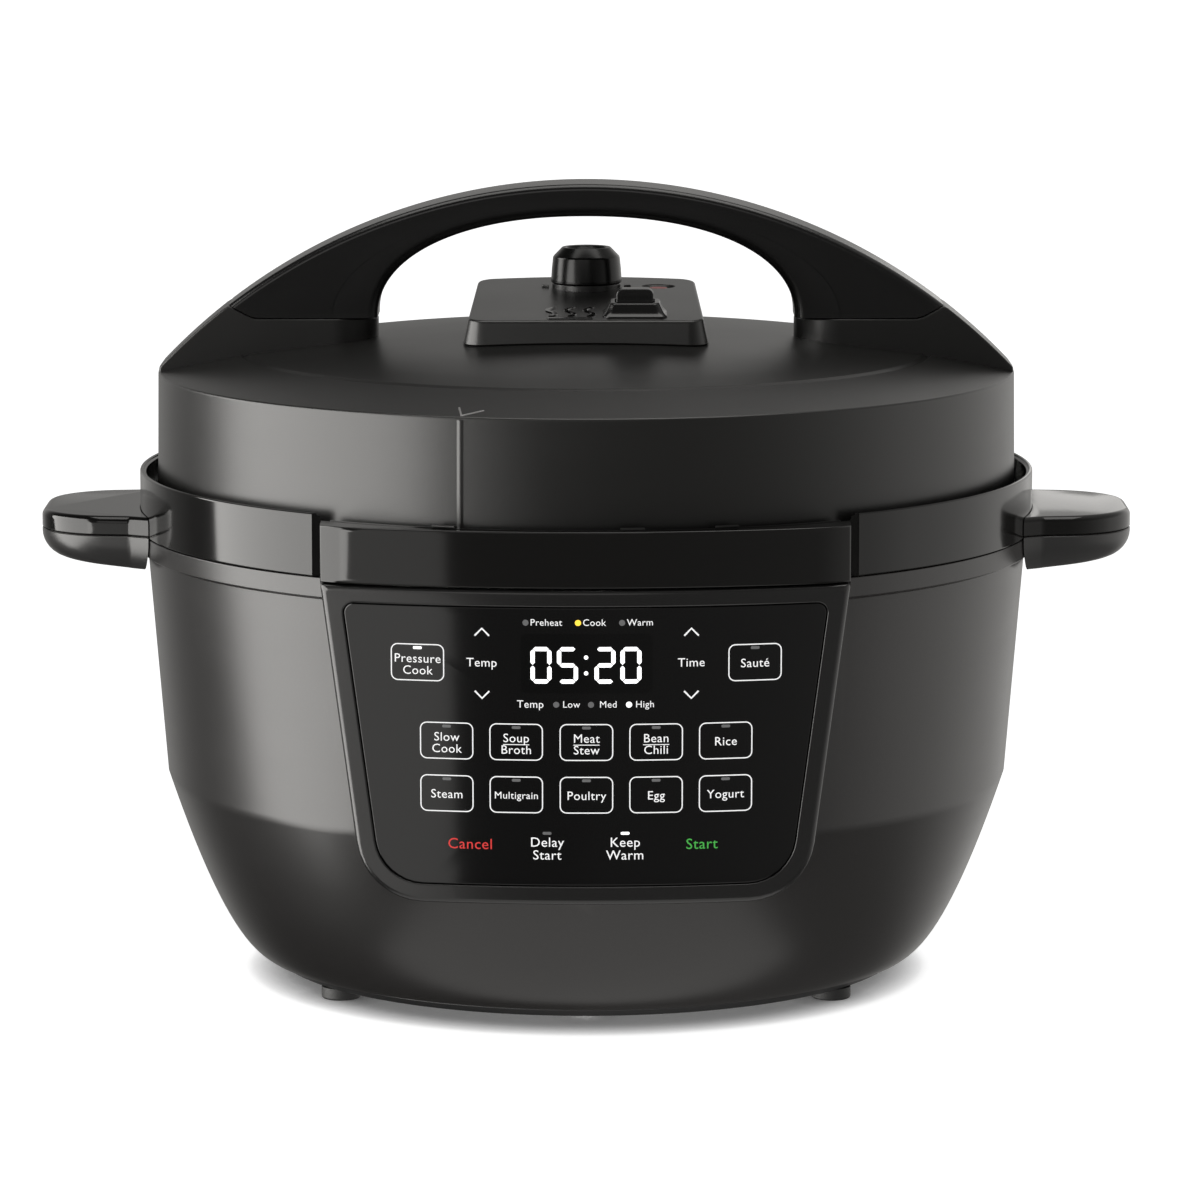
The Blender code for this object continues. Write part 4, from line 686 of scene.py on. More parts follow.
panel = dict(face=0.0004, window=0.00045, figures=0.00038, line=0.00042)
layout = dict(
    upperKeys=dict(z=0.149, w=0.0195, h=0.0137,
                   keys=(("Pressure\nCook", -0.0623, True), ("Saut\u00e9", 0.063, False))),
    rowOne=dict(z=0.1194, w=0.0195, h=0.0137,
                keys=(("Slow\nCook", -0.0516, False), ("Soup\nBroth", -0.0257, False),
                      ("Meat\nStew", 0.0004, False),
                      ("Bean\nChili", 0.0263, False), ("Rice", 0.0522, False))),
    rowTwo=dict(z=0.0992, w=0.0195, h=0.0137,
                keys=(("Steam", -0.0516, False), ("Multigrain", -0.0257, False), ("Poultry", 0.0004, False),
                      ("Egg", 0.0263, False), ("Yogurt", 0.0522, False))),
    words=(("Delay\nStart", -0.0143, 0.0784, 0.0052), ("Keep\nWarm", 0.0148, 0.0784, 0.0052),
           ("Temp", -0.0384, 0.1494, 0.0047), ("Time", 0.0393, 0.1494, 0.0047),
           ("Preheat", -0.0145, 0.1649, 0.0036), ("Cook", 0.0033, 0.1649, 0.0036),
           ("Warm", 0.0203, 0.1649, 0.0036),
           ("Temp", -0.0204, 0.1338, 0.0041), ("Low", -0.0052, 0.1338, 0.0036), ("Med", 0.0085, 0.1338, 0.0036),
           ("High", 0.0221, 0.1338, 0.0036)),
    chevrons=((-0.0383, 0.1614, 1), (0.0393, 0.1614, 1), (-0.0383, 0.137, -1), (0.0393, 0.137, -1)),
    dotsOff=((-0.0221, 0.1649), (0.0136, 0.1649), (-0.0108, 0.1338), (0.0021, 0.1338)),
    dotOn=(0.0162, 0.1338), dotCook=(-0.0027, 0.1649), dot=0.00115,
    lamp=(0.0033, 0.0011), lampOff=(-0.0143, 0.0845), lampOn=(0.0148, 0.0845),
    window=dict(middle=0.0005, half=0.0244, low=0.1381, high=0.1605, corner=0.001),
    figures=dict(text="0520", xs=(-0.0164, -0.0066, 0.0073, 0.0169), z=0.1488, w=0.0078, h=0.0139,
                 stroke=0.0016,
                 colon=(0.0003, 0.003, 0.0008)),
    cancel=("Cancel", -0.043, 0.0798, 0.0058), start=("Start", 0.0434, 0.0798, 0.0058),
)


def laidOn(name, bm, material):
    for face in bm.faces:
        face.normal_update()
        if face.normal.y > 0:
            face.normal_flip()
    return dress(linked(name, bm, False), material, "base", weighted=False)


def flatShape(name, loops, depth, material):
    # thin flat shapes laid on the film; each loop is a list of (x, z), or a pair (outer, inner)
    bm = bmesh.new()
    for loop in loops:
        parts = loop if isinstance(loop, tuple) else (loop,)
        made = [[bm.verts.new(p) for p in onFront(part, depth, console["tilt"])] for part in parts]
        if len(made) == 2:
            joinRings(bm, *made)
        else:
            bm.faces.new(made[0])
    return laidOn(name, bm, material)


def keyFrame(cx, cz, w, h, line, radius=0.0024):
    def box(grow):
        return divided(boxed(cx, cz, w + 2 * grow, h + 2 * grow, radius + grow, 6), 6, 0.006)
    return (box(line / 2), box(-line / 2))


def pill(cx, cz, w, h):
    return boxed(cx, cz, w, h, h * 0.45, 4)


def dot(cx, cz, r):
    return arc(cx, cz, r, 0, 2 * math.pi * 15 / 16, 15)


def bowedPatch(middle, half, low, high, corner, columns=30):
    # upright strips of a rounded rectangle, so that it follows the bow of the film
    def inset(x):
        past = max(0.0, abs(x) - (half - corner))
        return corner - math.sqrt(max(0.0, corner ** 2 - past ** 2))
    xs = [-half + 2 * half * k / columns for k in range(columns + 1)]
    return [[(middle + x0, low + inset(x0)), (middle + x1, low + inset(x1)),
             (middle + x1, high - inset(x1)), (middle + x0, high - inset(x0))] for x0, x1 in zip(xs, xs[1:])]


def chevron(cx, cz, w, h, up=1):
    t = 0.00045
    half = [(0, up * h / 2), (w / 2, -up * h / 2), (w / 2 - t, -up * (h / 2 + t)), (0, up * (h / 2 - 1.6 * t))]
    mirrored = [(-x, z) for x, z in (half[2], half[1])]
    return [(cx + x, cz + z) for x, z in half + mirrored]


def wording(name, entries, material):
    # plain words in the built-in face; entries are (text, x, z, height)
    bm = bmesh.new()
    for text, x, z, size in entries:
        curve = bpy.data.curves.new("word", "FONT")
        curve.body, curve.size, curve.resolution_u = text, size, 3
        curve.align_x = curve.align_y = "CENTER"
        curve.space_line, curve.space_character = 0.95, 1.06
        holder = placed("word", curve)
        bpy.context.view_layer.update()
        mesh = frozen(holder)
        for vertex in mesh.vertices:
            spot = (x + vertex.co.x, z + vertex.co.y)
            vertex.co = onFront([spot], panel["face"], console["tilt"])[0]
        bm.from_mesh(mesh)
        bpy.data.objects.remove(holder)
        bpy.data.meshes.remove(mesh)
    return laidOn(name, bm, material)


def segmentDigit(cx, cz, w, h, lit, t):
    # the lit strokes of a seven-segment figure, with the ends cut at 45 degrees
    x0, x1, z0, z1 = cx - w / 2 + t / 2, cx + w / 2 - t / 2, cz - h / 2 + t / 2, cz + h / 2 - t / 2
    spots = {"a": (x0, z1, x1, z1), "b": (x1, z1, x1, cz), "c": (x1, cz, x1, z0), "d": (x0, z0, x1, z0),
             "e": (x0, cz, x0, z0), "f": (x0, z1, x0, cz), "g": (x0, cz, x1, cz)}
    strokes = []
    for k in lit:
        a, b = Vector(spots[k][:2]), Vector(spots[k][2:])
        d = (b - a).normalized()
        n = Vector((-d.y, d.x)) * t / 2
        a, b = a + d * 0.00018, b - d * 0.00018
        strokes.append([tuple(p) for p in (a, a + d * t / 2 + n, b - d * t / 2 + n, b, b - d * t / 2 - n,
                                           a + d * t / 2 - n)])
    return strokes


def buildPrint():
    frames, offLamps, onLamps, words = [], [], [], list(layout["words"])
    for row in (layout["upperKeys"], layout["rowOne"], layout["rowTwo"]):
        for text, x, on in row["keys"]:
            frames.append(keyFrame(x, row["z"], row["w"], row["h"], panel["line"]))
            lamp = pill(x, row["z"] + row["h"] / 2 - 0.0013, *layout["lamp"])
            (onLamps if on else offLamps).append(lamp)
            longest = max(len(line) for line in text.split("\n"))
            words.append((text, x, row["z"] - (0.0009 if "\n" in text else 0.0004),
                          min(0.0047, 0.0385 / longest)))
            if text in ("Soup\nBroth", "Meat\nStew", "Bean\nChili"):  # a fine rule between the two foods
                frames.append(pill(x, row["z"] - 0.001, 0.0098, 0.0003))
    offLamps.append(pill(*layout["lampOff"], *layout["lamp"]))
    onLamps.append(pill(*layout["lampOn"], *layout["lamp"]))
    frames += [chevron(x, z, 0.0058, 0.0029, up) for x, z, up in layout["chevrons"]]
    offLamps += [dot(x, z, layout["dot"]) for x, z in layout["dotsOff"]]
    onLamps.append(dot(*layout["dotOn"], layout["dot"]))
    flatShape("displayWindow", bowedPatch(**layout["window"]), panel["window"], "windowFilm")
    cookLamp = [dot(*layout["dotCook"], layout["dot"])]
    # the frames, words and unlit lamps carry a painted glow from their finishes
    for name, shapes, ink in (("keyFrames", frames, "inkWhitePaintedGlow"), ("keyLampsOff", offLamps, "lampOff"),
                              ("keyLampsOn", onLamps, "lampWhite"), ("cookLamp", cookLamp, "lampYellow")):
        flatShape(name, shapes, panel["face"], ink)
    wording("keyWords", words, "inkWhitePaintedGlow")
    wording("cancelWord", [layout["cancel"]], "inkRedPaintedGlow")
    wording("startWord", [layout["start"]], "inkGreenPaintedGlow")
    f = layout["figures"]
    lit = {"0": "abcdef", "5": "afgcd", "2": "abged"}
    x, rise, r = f["colon"]
    digits = [dot(x, f["z"] + rise, r), dot(x, f["z"] - rise, r)]
    for figure, x in zip(f["text"], f["xs"]):
        digits += segmentDigit(x, f["z"], f["w"], f["h"], lit[figure], f["stroke"])
    flatShape("timeFigures", digits, panel["figures"], "digitLit")


buildPrint()
print("panel printed")


sideHandle = dict(tipX=0.215, half=0.042, rootHalf=0.049, rootX=0.166, corner=0.03, topZ=0.1861,
                  seamZ=0.1788, bottomZ=0.1645, topEdge=0.0027, bottomEdge=0.0105)


def handlePlan(inset, side):
    h, i = sideHandle, inset
    tip, half, corner = h["tipX"] - i, h["half"] - 0.004 - i, h["corner"] - i
    upper = [(tip, half, corner), (0.1786, h["half"] - i, 0.006), (h["rootX"], h["rootHalf"] - i, 0)]
    ring = softened([(x, -y, r) for x, y, r in reversed(upper)] + upper, 26)
    return [(side * x, y) for x, y in ring]


def buildSideHandles():
    h = sideHandle
    seam, edge = h["seamZ"] - hair, 0.0004
    start = seam - 0.0012
    for side, label in ((-1, "left"), (1, "right")):
        core = rod("handleCore", 0.1769, 0.1, 0.25, 256)
        rings = [level(handlePlan(edge, side), h["seamZ"]), level(handlePlan(0, side), h["seamZ"] + edge)]
        rings += [level(handlePlan(h["topEdge"] * inset, side), h["topZ"] - h["topEdge"] * drop)
                  for inset, drop in quarter(5)]
        cap = cutWith(stack(f"{label}HandleCap", rings), core, keepTool=True)
        dress(cap, "pianoBlack", "base", f"{label}_handle_cap", sharp=30, weighted=False)
        rings = [level(handlePlan(edge, side), seam), level(handlePlan(0, side), seam - edge)]
        for inset, drop in quarter(8):  # the underside rises a little towards the tip
            rings.append([(x, y, start - (start - h["bottomZ"] - 0.1 * max(0.0, abs(x) - 0.176)) * (1 - drop))
                          for x, y in handlePlan(h["bottomEdge"] * inset * 0.8, side)])
        grip = cutWith(stack(f"{label}HandleGrip", rings), core)
        dress(grip, "gripBlack", "base", f"{label}_handle_grip", sharp=30, weighted=False)


buildSideHandles()
print("side handles built")


inside = dict(linerRadius=0.136, linerHole=0.105, linerWall=0.001, plateHole=0.016, potRadius=0.132,
              capRadius=0.015, stemRadius=0.0042, capThick=0.0026)


def buildInside():
    low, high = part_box("liner_pot")
    outside, hole, wall = inside["linerRadius"], inside["linerHole"], inside["linerWall"]
    spun("linerPot", [
        (hole, low.z, 0.0003), (outside, low.z, 0.007), (outside, high.z - wall, 0.0015),
        (high.x, high.z - wall, 0.0003), (high.x, high.z, 0.0003), (outside - wall, high.z, 0.0025),
        (outside - wall, low.z + wall, 0.006), (hole, low.z + wall, 0.0003)], 6, 192, "castAluminium", "base",
        "liner_pot")
    low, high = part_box("heating_plate")
    top, hole = high.z, inside["plateHole"]
    ridge = [(hole, low.z, 0.0004), (high.x, low.z, 0.001), (high.x, top - 0.003, 0.0015),
             (high.x - 0.004, top, 0.0025)]
    for k in range(7):  # shallow turned rings on the face
        r = 0.1 - k * 0.011
        ridge += [(r - into, top - drop, soft) for into, drop, soft in
                  ((0, 0, 0.0006), (0.0005, 0.0004, 0.0003), (0.0015, 0.0004, 0.0003), (0.002, 0, 0.0006))]
    spun("heatingPlate", ridge + [(hole, top, 0.0008)], 3, 160, "castAluminium", "base", "heating_plate")
    low, high, mid, half = measured("sensor_cap")
    top, under, cap, stem = high.z, high.z - inside["capThick"], inside["capRadius"], inside["stemRadius"]
    spun("sensorCap", [
        (0, top - 0.0003, 0), (0.011, top - 0.0003, 0.0005), (0.0118, top, 0.0004), (cap, top, 0.001),
        (cap, under, 0.0004), (stem, under, 0.0006), (stem, low.z, 0.0006), (0, low.z, 0)], 4, 64,
        "brushedSteel", "thermal_sensor", "sensor_cap", middle=(0.0, 0.0))


def lugRing(radius, lugRadius, offset, width=math.radians(10), pitch=math.radians(45)):
    ring = []
    for index in range(8):
        start, end = offset + index * pitch - width / 2, offset + index * pitch + width / 2
        ring += arc(0, 0, lugRadius, start, end, 6) + arc(0, 0, radius, end + 0.002, start + pitch - 0.002, 18)
    return ring


def buildLockRing():
    low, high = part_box("lock_ring")
    top, thick = high.z, 0.0018
    flange = slab("lockRing", lugRing(0.152, 0.158, 0), top - thick, top, "XY", 0.0003, 2)
    cutWith(flange, rod("ringHole", 0.1412, 0.1, 0.25, 192))
    neck = turn("lockNeck", [(0.144, top - thick / 2), (0.1458, top - thick / 2), (0.1458, low.z),
                             (0.144, low.z)], 192)
    cutWith(flange, neck, "UNION")
    dress(flange, "brushedSteel", "base", "lock_ring")


def buildInlet():
    low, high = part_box("power_inlet")
    mid = (low + high) / 2
    rear = high.y
    block = brick("powerInlet", (0.03, rear - low.y, 0.022), (0, mid.y, mid.z), 0.001)
    cutWith(block, brick("inletFlange", (0.036, 0.003, 0.023), (0, low.y + 0.003, mid.z), 0.0005), "UNION")
    mouth = [(0.012, mid.z + 0.008, 0.0006), (-0.012, mid.z + 0.008, 0.0006), (-0.012, mid.z - 0.003, 0.0006),
             (-0.0075, mid.z - 0.008, 0.0006), (0.0075, mid.z - 0.008, 0.0006), (0.012, mid.z - 0.003, 0.0006)]
    cutWith(block, slab("mouthCut", softened(mouth, 3), rear - 0.014, rear + 0.01, "XZ"))
    dress(block, "baseMoulding", "base", "power_inlet")
    for index in (-1, 0, 1):
        name = f"inlet_pin_{index + 2}"
        low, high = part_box(name)
        blade = brick(f"inletBlade{index + 2}", tuple(high - low), tuple((low + high) / 2), 0.0005)
        dress(blade, "platedSteel", "base", name)


def buildCup():
    low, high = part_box("condensation_cup")
    back, wall, reach, rise = 0.1762, 0.002, 0.012, 0.007

    def plan(inset):
        w, r = high.x - inset, back - inset
        a = math.asin(w / r)
        return [(w, low.y + inset)] + arc(0, 0, r, math.pi / 2 - a, math.pi / 2 + a, 24) + [(-w, low.y + inset)]
    levels = ((0.0012, low.z), (0, low.z + 0.0012), (0, high.z - 0.0004), (0.0004, high.z), (0.0016, high.z),
              (wall, high.z - 0.0004), (wall, low.z + 0.0032), (0.0032, low.z + wall))
    cup = stack("condensationCup", [level(plan(inset), z) for inset, z in levels])
    pull = softened([(reach, low.z - 0.01, 0), (reach, low.z + rise, 0.005), (-reach, low.z + rise, 0.005),
                     (-reach, low.z - 0.01, 0)], 6)
    cutWith(cup, slab("pullCut", pull, 0.1745, 0.19, "XZ"))
    dress(cup, "baseMoulding", "condensation_cup", "condensation_cup")


buildInside()
buildLockRing()
buildInlet()
buildCup()
print("liner, heater, inlet and cup built")


def buildPot():
    low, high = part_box("inner_pot")
    rimZ, floor, outside = high.z, low.z, inside["potRadius"]
    bore = outside - 0.001
    spun("innerPot", [
        (0, floor, 0), (0.04, floor, 0), (0.0404, floor + 0.0003, 0.0002), (0.0424, floor + 0.0003, 0.0002),
        (0.0428, floor, 0.0002), (outside, floor, 0.014), (outside, rimZ - 0.0012, 0.002),
        (high.x - 0.0004, rimZ - 0.001, 0.0004), (high.x, rimZ - 0.0004, 0.0004),
        (high.x - 0.0006, rimZ, 0.0005),
        (bore, rimZ - 0.0002, 0.003), (bore, floor + 0.001, 0.013), (0, floor + 0.001, 0)], 8, 224,
        "brushedSteel", "inner_pot", "inner_pot", middle=(0.0, 0.0))
    bm = bmesh.new()
    for z, span in ((0.095, 0.11), (0.12, 0.11), (0.145, 0.16)):  # etched fill lines inside
        edge = arc(0, 0, bore - 0.00006, math.pi / 2 - span / 2, math.pi / 2 + span / 2, 12)
        for a, b in zip(edge, edge[1:]):
            bm.faces.new([bm.verts.new((*p, h)) for p, h in ((a, z), (b, z), (b, z + 0.0007), (a, z + 0.0007))])
    dress(linked("fillLines", bm), "castAluminium", "inner_pot", weighted=False)


def buildSeal():
    low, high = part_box("sealing_ring")
    bore, groove, outside = 0.1275, 0.1345, 0.14
    gl, gh = low.z + 0.006, high.z - 0.004
    spun("sealingRing", [
        (0.1295, high.z, 0.0006), (0.1295, high.z - 0.002, 0.0006), (groove, gh, 0.001), (groove, gl, 0.001),
        (0.1285, low.z + 0.004, 0.0008), (bore, low.z, 0.0006), (outside, low.z, 0.001),
        (outside, high.z, 0.001)],
        5, 192, "silicone", "sealing_ring", "sealing_ring")
    wire = 0.0011
    hoop = arc(groove - 0.0006 - wire, (gl + gh) / 2, wire, 0, 2 * math.pi * 13 / 14, 13)
    dress(turn("sealRack", hoop, 192), "platedSteel", "lid", "seal_rack", sharp=60)


buildPot()
buildSeal()
print("pot and seal built")


lid = dict(radius=0.169, flare=0.0006, bottomZ=0.188, edgeZ=0.24, shoulderRadius=0.1365, shoulderZ=0.2466,
           topZ=0.2562, wall=0.0026, step=0.0008, hemRadius=0.1628, markAngle=math.radians(-15.8))
valves = dict(pipe=(0.0, 0.028), pin=(0.0287, 0.028), release=(0.019, -0.036))  # where each stands on the lid


def crownZ(r):
    p = lid
    if r >= p["shoulderRadius"]:
        share = (r - p["shoulderRadius"]) / (p["radius"] - p["shoulderRadius"])
        return p["shoulderZ"] + (p["edgeZ"] - p["shoulderZ"]) * share
    return p["topZ"] + (p["shoulderZ"] - p["topZ"]) * (r / p["shoulderRadius"]) ** 2


def lidProfile():
    p = lid
    sr, sz, w, hem = p["shoulderRadius"], p["shoulderZ"], p["wall"], p["hemRadius"]
    skirt = p["radius"] + p["flare"]
    outer = [(sr * k / 24, crownZ(sr * k / 24), 0) for k in range(22)]
    outer += [(sr - 0.0035, crownZ(sr - 0.0035) - 0.0001, 0.004), (sr - 0.001, sz - p["step"], 0.001),
              (sr + 0.0004, sz - 0.0001, 0.0004), (p["radius"], p["edgeZ"], 0.0011),
              (skirt, p["bottomZ"], 0.0008),
              (hem, p["bottomZ"], 0.0002)]
    inner = [(hem, p["bottomZ"] + w, 0.0002), (skirt - w, p["bottomZ"] + w, 0.001),
             (p["radius"] - w, p["edgeZ"] - w, 0.003)]
    inner += [(r, crownZ(r) - w, 0) for r in (0.13, 0.1, 0.07, 0.04, 0.02, 0.0)]
    return softened(outer + inner, 5, False)


def buildLidCover():
    cover = turn("lidCover", lidProfile(), 288, closed=False)
    for r, place in ((0.0054, "pipe"), (0.0044, "pin")):
        cutWith(cover, rod("holeCut", r, 0.24, 0.27, 32, valves[place]))
    dress(cover, "lidGrain", "lid", "lid_cover", sharp=24)
    buildLidMark()


def buildLidMark():
    # the alignment mark: a low rib down the skirt, forked where it runs on to the lid's shoulder
    p = lid
    mark = dict(left=0.0021, right=0.0013, rise=0.001, sink=0.0004, crest=0.0002, line=0.0004,
                arms=((-0.0036, 0.0088), (0.0066, 0.0066)))
    low, high = p["bottomZ"] + 0.001, p["edgeZ"] - 0.0012
    rings = []
    for step in range(9):
        z = low + (high - low) * step / 8
        r = p["radius"] + p["flare"] * (p["edgeZ"] - z) / (p["edgeZ"] - p["bottomZ"])
        foot, crest = mark["sink"] - r, -r - mark["rise"]
        rings.append([(-mark["left"], foot, z), (-mark["crest"], crest, z), (mark["crest"], crest, z),
                      (mark["right"], foot, z)])
    made = [(stack("lidMarkRib", rings), "lidGrain", 20)]
    for number, (reach, inward) in enumerate(mark["arms"]):
        route = []
        for step in range(7):
            x, y = reach * step / 6, -p["radius"] + 0.001 + inward * step / 6
            route.append((x, y, crownZ(math.hypot(x, y)) + 0.0001))
        made.append((tubeAlong(f"lidMarkArm{number + 1}", route, mark["line"], 8), "markGrey", 60))
    for obj, finish, sharp in made:
        obj.data.transform(Matrix.Rotation(p["markAngle"], 4, "Z"))
        dress(obj, finish, "lid", sharp=sharp)


def buildLidLiner():
    low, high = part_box("lid_liner")
    r, t, top, lugLow, lugHigh = 0.1625, 0.0015, high.z, 0.1895, 0.1915
    loop = [(0, top, 0), (0.1205, top, 0.002), (0.1225, top - 0.0006, 0.002), (r - 0.004, top - 0.0006, 0.004),
            (r, top - 0.006, 0.004), (r, low.z, 0.0004), (r - t, low.z, 0.0004), (r - t, top - 0.0065, 0.003),
            (r - 0.0046, top - 0.0021, 0.003), (0.123, top - 0.0021, 0.002), (0.121, top - t, 0.002),
            (0, top - t, 0)]
    plate = turn("lidLiner", softened(loop, 5, False), 192, closed=False)
    lugs = slab("lidLugs", lugRing(r - t - 0.0005, 0.155, math.radians(11)), lugLow, lugHigh)
    hoop = turn("lugHoop", [(r - t / 2, lugLow), (r - t / 2, lugHigh), (0.15, lugHigh), (0.15, lugLow)], 192)
    cutWith(plate, cutWith(hoop, lugs), "UNION")
    for r, place in ((0.0028, "pipe"), (0.0022, "pin")):
        cutWith(plate, rod("holeCut", r, 0.2, 0.215, 32, valves[place]))
    dress(plate, "brushedSteel", "lid", "lid_liner")


arch = dict(radius=0.232, topZ=0.3138, half=0.0155, apexHalf=0.0143, splitZ=0.2612, splitX=0.1405, bendX=0.131,
            seamHalf=0.0998, seamZ=0.3056, gripHalf=0.082, gripZ=0.3009, gripPower=2.2, edge=0.0026,
            gripEdge=0.004, tongue=0.001)


def archZ(x):
    return arch["topZ"] - arch["radius"] + math.sqrt(arch["radius"] ** 2 - x * x)


def ovalHalf(half, top, power, steps):
    points = []
    for k in range(steps + 1):
        a = math.pi / 2 * k / steps
        x = half * max(0.0, math.cos(a)) ** (2 / power) if k < steps else 0.0
        points.append((x, arch["splitZ"] + (top - arch["splitZ"]) * math.sin(a) ** (2 / power)))
    return points


def mirrorLoop(halfLoop):
    return halfLoop + [(-x, z) for x, z in reversed(halfLoop) if abs(x) > 1e-9]


def slimArch(obj):
    # the grip narrows a little towards the crown
    for vertex in obj.data.vertices:
        share = min(1.0, abs(vertex.co.x) / 0.13)
        wide = arch["apexHalf"] + (arch["half"] - arch["apexHalf"]) * share
        vertex.co.y *= wide / arch["half"]


def buildArch():
    a = arch
    split = (a["splitX"], archZ(a["splitX"]))
    outer = [(a["splitX"] * k / 40, archZ(a["splitX"] * k / 40)) for k in range(40)] + [split]
    outer += softened([(*split, 0), (a["bendX"], a["splitZ"] + 0.0002, 0.01),
                       (a["seamHalf"] + hair, a["splitZ"] + 0.0002, 0)], 6, False)[1:-1]
    half = outer + ovalHalf(a["seamHalf"] + hair, a["seamZ"] + hair, 2.0, 44)
    top = slab("handleShell", mirrorLoop(half), -a["half"], a["half"], "XZ", a["edge"], 4,
               only=lambda p: p.z > archZ(min(abs(p.x), 0.168)) - 0.002 and abs(p.x) < a["splitX"] - 0.001)
    outline = (ovalHalf(a["seamHalf"], a["seamZ"], 2.0, 44)[::-1]
               + ovalHalf(a["gripHalf"], a["gripZ"], a["gripPower"], 44))

    def nearGrip(p):
        share = (abs(p.x) / a["gripHalf"]) ** a["gripPower"]
        share += (max(0.0, p.z - a["splitZ"]) / (a["gripZ"] - a["splitZ"])) ** a["gripPower"]
        return share < 1.03 and p.z > a["splitZ"] + 0.0004
    insert = slab("handleInsert", mirrorLoop(outline), -a["half"], a["half"], "XZ", a["gripEdge"], 5,
                  only=nearGrip)
    lap = a["tongue"]  # hidden tongue across the seam, so that no light passes through it
    outline = ovalHalf(a["seamHalf"] + lap, a["seamZ"] + lap, 2.0, 44)[::-1]
    outline += ovalHalf(a["seamHalf"] - lap, a["seamZ"] - lap, 2.0, 44)
    tongue = slab("handleTongue", mirrorLoop(outline), -a["half"] + lap, a["half"] - lap, "XZ")
    for obj, nodes in ((top, ["handle_shell"]), (insert, ["handle_insert"]), (tongue, [])):
        slimArch(obj)
        dress(obj, "handleBlack", "lid", *nodes, sharp=36)


def buildMounts():
    a = arch
    low = lid["edgeZ"] - 0.001
    xs = [a["splitX"] + (lid["radius"] - a["splitX"]) * k / 14 for k in range(15)]
    side = [(x, archZ(x) - (hair if k == 0 else 0)) for k, x in enumerate(xs)]
    side += [(lid["radius"], low), (a["gripHalf"], low), (a["gripHalf"], a["splitZ"] - hair)]
    side += softened([(a["gripHalf"], a["splitZ"] - hair, 0), (a["bendX"], a["splitZ"] - hair, 0.01),
                      (a["splitX"], archZ(a["splitX"]) - hair, 0)], 6, False)[1:-1]
    w = a["half"]
    nose = a["seamHalf"] - a["gripHalf"]
    plan = [(a["seamHalf"] - nose * math.sin(t), w * math.cos(t))
            for t in (math.pi * k / 24 for k in range(25))]
    swing = math.asin(w / lid["radius"])
    plan += arc(0, 0, lid["radius"] - hair, -swing, swing, 10)
    for sign, label in ((-1, "left"), (1, "right")):
        block = slab(f"{label}Mount", [(sign * x, z) for x, z in side], -w - 0.001, w + 0.001, "XZ")
        cutWith(block, slab("planCut", [(sign * x, y) for x, y in plan], 0.22, 0.29), "INTERSECT")
        soften = block.modifiers.new("soften", "BEVEL")
        soften.width, soften.segments = 0.0007, 3
        soften.limit_method, soften.angle_limit = "ANGLE", math.radians(40)
        dress(block, "lidGrain", "lid", f"handle_mount_{label}", sharp=30)


buildLidCover()
buildLidLiner()
buildArch()
buildMounts()
print("lid and its handle built")


deck = dict(frontY=-0.052, backY=0.047, frontHalf=0.048, backHalf=0.0455, corner=0.0085, draft=0.002,
            frontZ=0.2637, backZ=0.2708, edge=0.0012, tuck=0.0007, bulge=0.0085)


def deckZ(y):
    d = deck
    return d["frontZ"] + (d["backZ"] - d["frontZ"]) * (y - d["frontY"]) / (d["backY"] - d["frontY"])


def deckPlan(inset):
    d = deck
    c = max(0.002, d["corner"] - inset)
    front, back = (d["frontHalf"] - inset, d["frontY"] + inset), (d["backHalf"] - inset, d["backY"] - inset)
    ring = softened([(*front, c), (*back, c), (-back[0], back[1], c), (-front[0], front[1], c)], 8)
    ring = divided(ring, 10)  # and the rear edge bulges a little
    return [(x, y + d["bulge"] * (1 - (x / d["backHalf"]) ** 2) * max(0.0, (y - 0.03) / 0.017))
            for x, y in ring]


